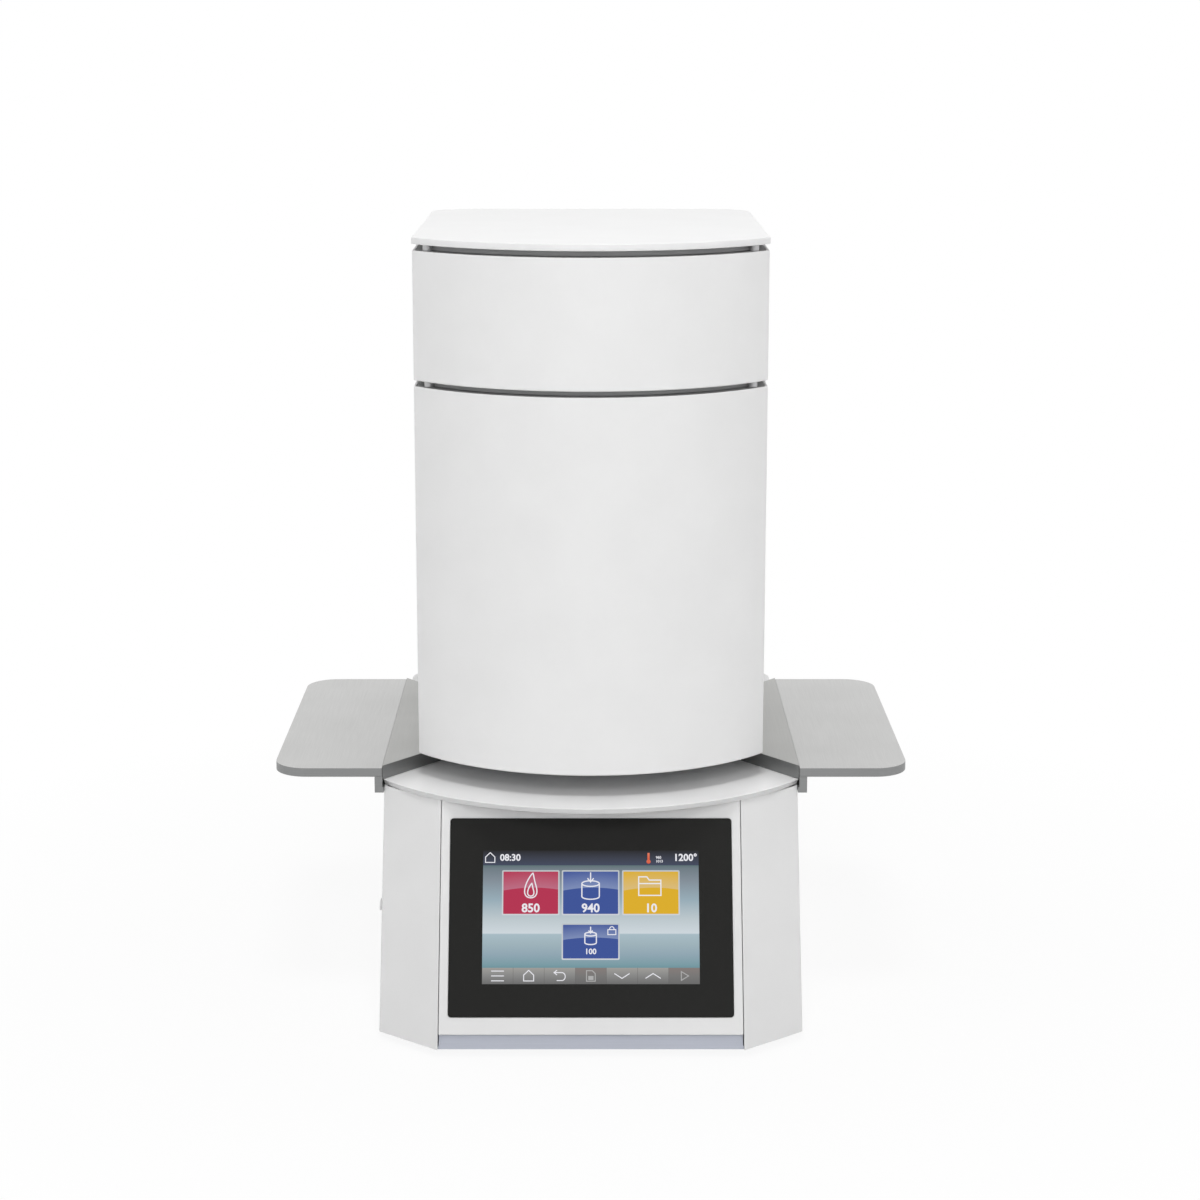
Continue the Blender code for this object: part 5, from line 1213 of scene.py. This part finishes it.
low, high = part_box("fan_rotor")
foot, head = low.y - rear_line, high.y - rear_line
profile = [(HUB, foot), (HUB, head - HUB_ROUND), (HUB - HUB_ROUND / 4, head - HUB_ROUND / 3),
           (HUB - HUB_ROUND, head), (HUB_DIMPLE, head), (HUB_DIMPLE - 0.0004, head - 0.0004)]
hub = shape("fan_hub", turned(profile, centre, 64), black_plastic, place=on_rear)
settle(hub, "fan", "fan_rotor")
# Blade surface: it sweeps round with the radius, turns flatter and grows longer from root to tip
BLADES = 7
BLADE_TIP = 0.0265
BLADE_HALF = 0.0005
ROOT_PITCH, TIP_PITCH = 42, 28
ROOT_CHORD, TIP_CHORD = 0.0095, 0.0130
BLADE_SWEEP = 0.28
BLADE_CAMBER = 0.0012
for blade in range(BLADES):
    reach = np.linspace(HUB - 0.001, BLADE_TIP, 10)[:, None]
    chord = np.linspace(-0.5, 0.5, 9)[None]
    far = (reach - HUB) / (BLADE_TIP - HUB)
    pitch = np.radians(ROOT_PITCH + (TIP_PITCH - ROOT_PITCH) * far)
    length = ROOT_CHORD + (TIP_CHORD - ROOT_CHORD) * far
    angle = 2 * np.pi * blade / BLADES + BLADE_SWEEP * far + chord * length * np.cos(pitch) / reach
    camber = BLADE_CAMBER * (1 - 4 * chord ** 2)
    middle = (foot + head) / 2 + chord * length * np.sin(pitch) + camber
    upper, lower = [about(centre, reach, angle, middle + half) for half in (BLADE_HALF, -BLADE_HALF)]
    rings = np.concatenate([upper, lower[:, ::-1]], 1)
    vane = shape(f"fan_blade_{blade}", rings, black_plastic, place=on_rear)
    settle(vane, "fan")

low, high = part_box("fan_grille")
wire = (high.y - low.y) / 2
depth = (low.y + high.y) / 2 - rear_line
reach = (high.x - low.x) / 2
SPOKE_START = 0.16
for name, share in (("inner", 0.30), ("second", 0.50), ("third", 0.70), ("outer", 0.90)):
    section = filleted(rectangle(2 * wire, 2 * wire, (share * reach, depth)), wire * 0.96, 3)
    hoop = shape("guard_ring_" + name, turned(section, centre, 72), ground_steel, True, on_rear)
    settle(hoop, "base")
for spoke in range(4):
    profile = edge_profile(depth - wire, depth + wire, wire / 3, hold=wire / 6)
    rings = stacked(bar(45 + 90 * spoke, SPOKE_START * reach, reach, wire), 0.0003, profile, 3, 0)
    arm = shape(f"guard_spoke_{spoke}", rings, ground_steel, place=on_rear)
    settle(arm, "base", None if spoke else "fan_grille")


# Firing table: a polished steel ring on the base plate, which the seal of the head meets, round a plinth of
# pressed fibre that carries the work.

def draw_felt(tree, place, strands):
    """Pressed fibre: tangled short strands as height, and stains that tint with them."""
    tangle = node(tree, "TexNoise", [("Vector", place), ("Scale", strands), ("Detail", 5.0),
                                     ("Roughness", 0.75), ("Distortion", 1.2)]).outputs[0]
    stain = node(tree, "TexNoise", [("Vector", place), ("Scale", 40.0), ("Detail", 4.0)]).outputs[0]
    both = node(tree, "Math", [(0, tangle), (1, stain)]).outputs[0]
    return tangle, remap(tree, both, (0.6, 1.4), (0.88, 1.05)), 0.0


felt = surface_group("felt", "Strands per metre", 900, draw_felt)
fibre = surfaced("pressed_fibre", felt, 700, 0.00012, (236, 231, 220), 0.95)
table_steel = surfaced("table_steel", brushed, (900, 900, 60), 0.000002, (208, 208, 209), 0.22, 1.0)
plinth_low, plinth_high, _, plinth_radius = round_box("table_plinth")
bore = plinth_radius + TOUCH
corners = [(bore, table_low.z), (table_radius, table_low.z), (table_radius, table_high.z),
           (bore, table_high.z)]
rings = turned(filleted(corners, [0.0003, 0.0006, 0.0018, 0.0006], 5, 0.0006), (0, axis_y), 128)
table = shape("sealing_ring_table", rings, table_steel, True)
settle(table, "base", "firing_table")
shoulder = [(0, 0.003), (0.0006, 0.0009), (0.0022, 0), (0.004, 0)]
profile = [(plinth_radius, plinth_low.z)] + [(plinth_radius - inset, plinth_high.z - drop)
                                             for inset, drop in shoulder]
plinth = shape("fibre_plinth", turned(profile, (0, axis_y), 128), fibre)
settle(plinth, "base", "table_plinth")


# Firing chamber in the head: the carrier plate with its seal below, and on it the steel can, the fibre
# lining, the quartz muffle with its heating wire, and the thermocouple.

carrier_metal = surfaced("milled_aluminium", brushed, (30, 1200, 1200), 0.000006, (196, 198, 200), 0.34, 1.0)
can_steel = surfaced("can_steel", ground, 1200, 0.000004, (178, 176, 172), 0.36, 1.0)
oxidised = surfaced("oxidised_wire", moulded, 1500, 0.00003, (118, 104, 94), 0.55, 0.6)
bronze = surfaced("sintered_bronze", moulded, 2200, 0.00003, (176, 138, 92), 0.42, 0.9)
alumina = surfaced("alumina", moulded, 900, 0.00002, (236, 232, 222), 0.42)
dress(carrier_metal, "carrier_plate")
dress(can_steel, "chamber_can")
dress(fibre, "chamber_insulation")
dress(oxidised, "heating_coil")
dress(bronze, "guide_bush_left", "guide_bush_right", "spindle_nut")
dress(alumina, "thermocouple")
low, high, _, radius = round_box("heating_muffle")
MUFFLE_WALL = 0.003
quartz = surfaced("milky_quartz", moulded, 60, 0.00001, (232, 234, 232), 0.12)
corners = [(radius - MUFFLE_WALL, low.z), (radius, low.z), (radius, high.z), (radius - MUFFLE_WALL, high.z)]
muffle = shape("quartz_tube", turned(filleted(corners, 0.0008, 4, 0.0004), (0, axis_y), 128), quartz, True)
settle(muffle, "head", "heating_muffle")
low, high, _, radius = round_box("chamber_seal")
cord = (high.z - low.z) / 2
seal_red = surfaced("red_silicone", moulded, 900, 0.00002, (168, 58, 42), 0.55)
section = about((radius - cord, (low.z + high.z) / 2), cord, full_turn(24), 0)[:, :2]
seal = shape("silicone_ring", turned(section, (0, axis_y), 128), seal_red, True)
settle(seal, "head", "chamber_seal")


# Press: an aluminium cylinder on the upper deck, and the ram with its alumina plunger, which reaches down
# through the lining. They are closed in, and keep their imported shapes.

dress(turned_aluminium, "press_cylinder")
dress(ground_steel, "press_piston")
dress(alumina, "press_plunger")


# Hood and press band: white coated sheet, bent round the front and both sides of the head, with a turned in
# lip below and a broken edge above. The back is left open for the rear cover.

HEAD_RADIUS = 0.1654
HEAD_CORNER = 0.0025
HEAD_SHEET = 0.002
HEAD_EDGE = 0.0005
HEAD_BEND = 0.0012
HOOD_LIP = 0.008
BAND_LIP = 0.022
rear_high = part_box("head_rear_cover")[1]
hood_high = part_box("hood_shell")[1]
head_half = hood_high.x


def wrap_plan(inset):
    """Front and sides of the head from seam to seam."""
    front = bowed_front(inset, head_half, HEAD_RADIUS, HEAD_CORNER)
    inset = np.asarray(inset, float).reshape(-1, 1)
    side, end = head_half - inset, hood_high.y - axis_y + 0 * inset
    hold = np.stack([side, front[:, -1:, 1] + 0.002], -1)
    seam_point = np.stack([side, end], -1)
    return np.concatenate([seam_point * (-1, 1), hold * (-1, 1), front, hold, seam_point], 1)


def sheet_section(low_z, high_z, lip):
    """Closed section of a bent sheet, as insets and heights: up inside, down outside, along the lip."""
    corners = [(lip, low_z), (lip, low_z + HEAD_SHEET), (HEAD_SHEET, low_z + HEAD_SHEET),
               (HEAD_SHEET, high_z), (0, high_z), (0, low_z)]
    return filleted(corners, [0.0004, 0.0004, 0.0003, HEAD_EDGE, HEAD_EDGE, HEAD_BEND], 5, 0.0006)


for name, cad, lip in (("hood_sheet", "hood_shell", HOOD_LIP), ("band_sheet", "press_band_shell", BAND_LIP)):
    low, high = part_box(cad)
    rings = np.swapaxes(plan_rings(sheet_section(low.z, high.z, lip), wrap_plan, axis_y), 0, 1)
    sheet = shape(name, rings, white_coat)
    settle(sheet, "head", cad)


# Decks and set-back plates: grey coated sheet between hood, band and lid. Only their edges show, in the two
# narrow gaps that run round the head, and small posts stand in the front corners of the gaps.

DECK_INSET = 0.0023
SPACER_INSET = 0.0095
SPACER_CORNER = 0.009
HEAD_BACK_CORNER = 0.030
DECK_HOLE = 0.012


def head_plan(corner):
    """Whole plan of the head, with a given front corner."""
    def plan(inset):
        front = bowed_front(inset, head_half, HEAD_RADIUS, corner)
        back = squared_back(inset, head_half, rear_high.y - axis_y, HEAD_BACK_CORNER)
        return np.concatenate([front, back], 1)
    return plan


gap_dark = powder_coat("gap_coat", (147, 147, 148), 0.55)
gap_pale = powder_coat("spacer_coat", (171, 171, 172), 0.50)
for name, inset, corner in (("hood_deck", DECK_INSET, HEAD_CORNER), ("band_deck", DECK_INSET, HEAD_CORNER),
                            ("hood_spacer", SPACER_INSET, SPACER_CORNER + SPACER_INSET),
                            ("band_spacer", SPACER_INSET, SPACER_CORNER + SPACER_INSET)):
    low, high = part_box(name)
    profile = edge_profile(low.z, high.z, 0.0003, 2) + (inset, 0)
    finish = gap_pale if name.endswith("spacer") else gap_dark
    deck = shape(name + "_plate", plan_rings(profile, head_plan(corner), axis_y), finish)
    if name.startswith("hood"):
        span = [(DECK_HOLE, low.z - HOLE_OVERRUN), (DECK_HOLE, high.z + HOLE_OVERRUN)]
        carve(deck, [shape("cutter", turned(span, (0, axis_y)), gap_dark)])
    settle(deck, "head", name)
POST_RADIUS = 0.0034
POST_PLACE = (0.1179, -0.0908)
post_satin = surfaced("post_satin", ground, 2500, 0.000002, (196, 196, 197), 0.40, 0.4)
for gap, cad in (("lower", "hood_spacer"), ("upper", "band_spacer")):
    low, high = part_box(cad)
    for side, way in (("left", -1), ("right", 1)):
        spot = (way * POST_PLACE[0], POST_PLACE[1])
        rings = turned([(POST_RADIUS, low.z), (POST_RADIUS, high.z)], spot, 40)
        post = shape(f"gap_post_{gap}_{side}", rings, post_satin)
        settle(post, "head")


# Rear cover of the head: one bent sheet from seam to seam, with two groups of vent slots.

low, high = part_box("head_rear_cover")


def rear_plan(inset):
    """Back of the head from seam to seam."""
    rounded = squared_back(inset, head_half, rear_high.y - axis_y, HEAD_BACK_CORNER)
    inset = np.asarray(inset, float).reshape(-1, 1)
    end = np.stack([head_half - inset, low.y - axis_y + 0 * inset], -1)
    return np.concatenate([end, rounded, end * (-1, 1)], 1)


corners = [(HEAD_SHEET, low.z), (HEAD_SHEET, high.z), (0, high.z), (0, low.z)]
section = filleted(corners, HEAD_EDGE, 4, 0.0006)
rear_cover = shape("rear_sheet", np.swapaxes(plan_rings(section, rear_plan, axis_y), 0, 1), white_coat)
VENTS = 7
VENT_WIDE = 0.120
VENT_HIGH = 0.0035
VENT_PITCH = 0.009
cutters = []
for start in (hood_high.z - 0.0727, hood_high.z + 0.0223):
    for row in range(VENTS):
        up = start + row * VENT_PITCH + VENT_HIGH / 2
        outline = filleted(rectangle(VENT_WIDE, VENT_HIGH, (0, up)), VENT_HIGH / 2.05, 6)
        ends = (high.y - HEAD_SHEET - HOLE_OVERRUN, high.y + HOLE_OVERRUN)
        cutters.append(shape("cutter", drawn_out(outline, ends), white_coat))
carve(rear_cover, cutters)
settle(rear_cover, "head", "head_rear_cover")


# Lid: a 5 mm white plate over the head, a little larger than the band, with rounded arrises.

LID_OVERHANG = 0.0005
LID_EDGE = 0.0008
low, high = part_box("top_lid")
profile = edge_profile(low.z, high.z, LID_EDGE, 5) - (LID_OVERHANG, 0)
lid = shape("lid_plate", plan_rings(profile, head_plan(HEAD_CORNER), axis_y), top_coat_painted_light)
# The top keeps the lighter top coat and the edges take the white coat: painted light on the top.
finish_edges(lid, white_coat)
settle(lid, "head", "top_lid")


# Screws: small black button heads with a hexagon socket, in the corners of the connector sheet and round the
# fan.

SCREW_RADIUS = 0.0028
SCREW_HIGH = 0.0016
SCREW_SIZE = 0.85
SCREW_IN = 0.007
FAN_SCREWS = 0.025
SOCKET = 0.0011
dome = [(1, 0), (1, 0.3), (0.93, 0.62), (0.78, 0.88), (0.60, 1.0)]
spans = [(SCREW_RADIUS * reach, SCREW_HIGH * rise) for reach, rise in dome]
key_hole = hexagon(SOCKET, 36)
spans += [(key_hole * 1.08, SCREW_HIGH), (key_hole, SCREW_HIGH - 0.0001), (key_hole, SCREW_HIGH - SOCKET)]
spans = [(SCREW_SIZE * reach, SCREW_SIZE * rise - HOUSING_WALL) for reach, rise in spans]
black_steel = surfaced("blackened_steel", ground, 1500, 0.000002, (60, 60, 62), 0.38, 0.7)
corners = [(x, y) for x in (-1, 1) for y in (-1, 1)]
wide, tall = np.array(window_size) / 2 - SCREW_IN
fan_at = rear_place("fan_frame")
spots = [("sheet", x * wide, y * tall) for x, y in corners]
spots += [("fan", fan_at[0] + x * FAN_SCREWS, fan_at[1] + y * FAN_SCREWS) for x, y in corners]
for number, (group, right, up) in enumerate(spots):
    screw = shape(f"{group}_screw_{number}", turned(spans, (right, up), 36), black_steel, place=on_rear)
    settle(screw, "base")


# Studio: a floor and backdrop that read as white, with a soft shadow under the furnace, soft lamps above and
# all round, and the camera where the photograph was taken from.

FLOOR_HALF = 6.0
SHADOW_SHARE = 0.10
SHADOW_REACH = (0.30, 0.75)
AMBIENT = 0.36
floor_mesh = bpy.data.meshes.new("studio_floor")
floor_corners = rectangle(2 * FLOOR_HALF, 2 * FLOOR_HALF)
floor_mesh.from_pydata(np.column_stack([floor_corners, np.zeros(4)]).tolist(), [], [(0, 1, 2, 3)])
floor = bpy.data.objects.new("studio_floor", floor_mesh)
bpy.context.scene.collection.objects.link(floor)
floor_paint = bpy.data.materials.new("studio_white")
floor_paint.use_nodes = True


def seen_directly(tree):
    """1 for rays of the camera, also off gloss or through glass, and 0 for light on its way."""
    rays = node(tree, "LightPath")
    seen = node(tree, "Math", [(0, rays.outputs["Is Camera Ray"]), (1, rays.outputs["Is Glossy Ray"])],
                use_clamp=True)
    return node(tree, "Math", [(0, seen.outputs[0]), (1, rays.outputs["Is Transmission Ray"])],
                use_clamp=True).outputs[0]


# Floor: plain white where it is seen, and a share of its true light near the furnace, which is the shadow
tree = floor_paint.node_tree
tree.nodes.clear()
paint = node(tree, "BsdfDiffuse", [("Color", (0.88, 0.88, 0.88, 1))])
white = node(tree, "Emission", [("Color", (1, 1, 1, 1)), ("Strength", 1.0)])
away = node(tree, "VectorMath", [(0, node(tree, "TexCoord").outputs["Object"])], operation="LENGTH")
share = remap(tree, away.outputs["Value"], SHADOW_REACH, (1 - SHADOW_SHARE, 1))
part = node(tree, "Math", [(0, seen_directly(tree)), (1, share)], operation="MULTIPLY")
mixed = node(tree, "MixShader", [(0, part.outputs[0]), (1, paint.outputs[0]), (2, white.outputs[0])])
node(tree, "OutputMaterial", [("Surface", mixed.outputs[0])])
floor_mesh.materials.append(floor_paint)

world = bpy.data.worlds.new("studio")
bpy.context.scene.world = world
world.use_nodes = True
tree = world.node_tree
tree.nodes.clear()
around = node(tree, "Background", [("Color", (1, 1, 1, 1)), ("Strength", AMBIENT)])
white = node(tree, "Background", [("Color", (1, 1, 1, 1)), ("Strength", 1.0)])
mixed = node(tree, "MixShader", [(0, seen_directly(tree)), (1, around.outputs[0]), (2, white.outputs[0])])
node(tree, "OutputWorld", [("Surface", mixed.outputs[0])])

LAMPS = (("key", (0.2, -2.3, 1.65), 0.45, 10.0), ("low", (0.1, -2.5, 1.0), 0.5, 10.6),
         ("over", (0.0, -0.8, 2.6), 0.7, 20.5),
         ("left", (-2.4, -1.0, 1.0), 1.3, 3.8), ("right", (2.4, -1.0, 1.0), 1.3, 3.0),
         ("rear_left", (-2.2, 1.0, 1.1), 1.3, 8.0), ("rear_right", (2.2, 1.0, 1.1), 1.3, 8.0),
         ("back", (0.3, 2.6, 1.4), 1.6, 13.0))
for name, place, size, power in LAMPS:
    lamp = bpy.data.lights.new("lamp_" + name, "AREA")
    lamp.shape = "SQUARE"
    lamp.size = size
    lamp.energy = power
    holder = bpy.data.objects.new("lamp_" + name, lamp)
    bpy.context.scene.collection.objects.link(holder)
    holder.location = place
    holder.visible_glossy = False
    way = np.array((0, 0, 0.3)) - place
    lean = np.arctan2(np.hypot(way[0], way[1]), -way[2])
    holder.rotation_euler = (lean, 0, np.arctan2(way[1], way[0]) - np.pi / 2)

view = bpy.data.cameras.new("photo_camera")
view.lens = 80.15
view.sensor_width = 36.0
view.shift_x = 0.0076
camera = bpy.data.objects.new("photo_camera", view)
camera.location = (0, -2.0264, 0.7297)
camera.rotation_euler = (np.radians(90 - 12.31), 0, 0)
bpy.context.scene.collection.objects.link(camera)
bpy.context.scene.camera = camera
bpy.context.scene.view_settings.view_transform = "Standard"
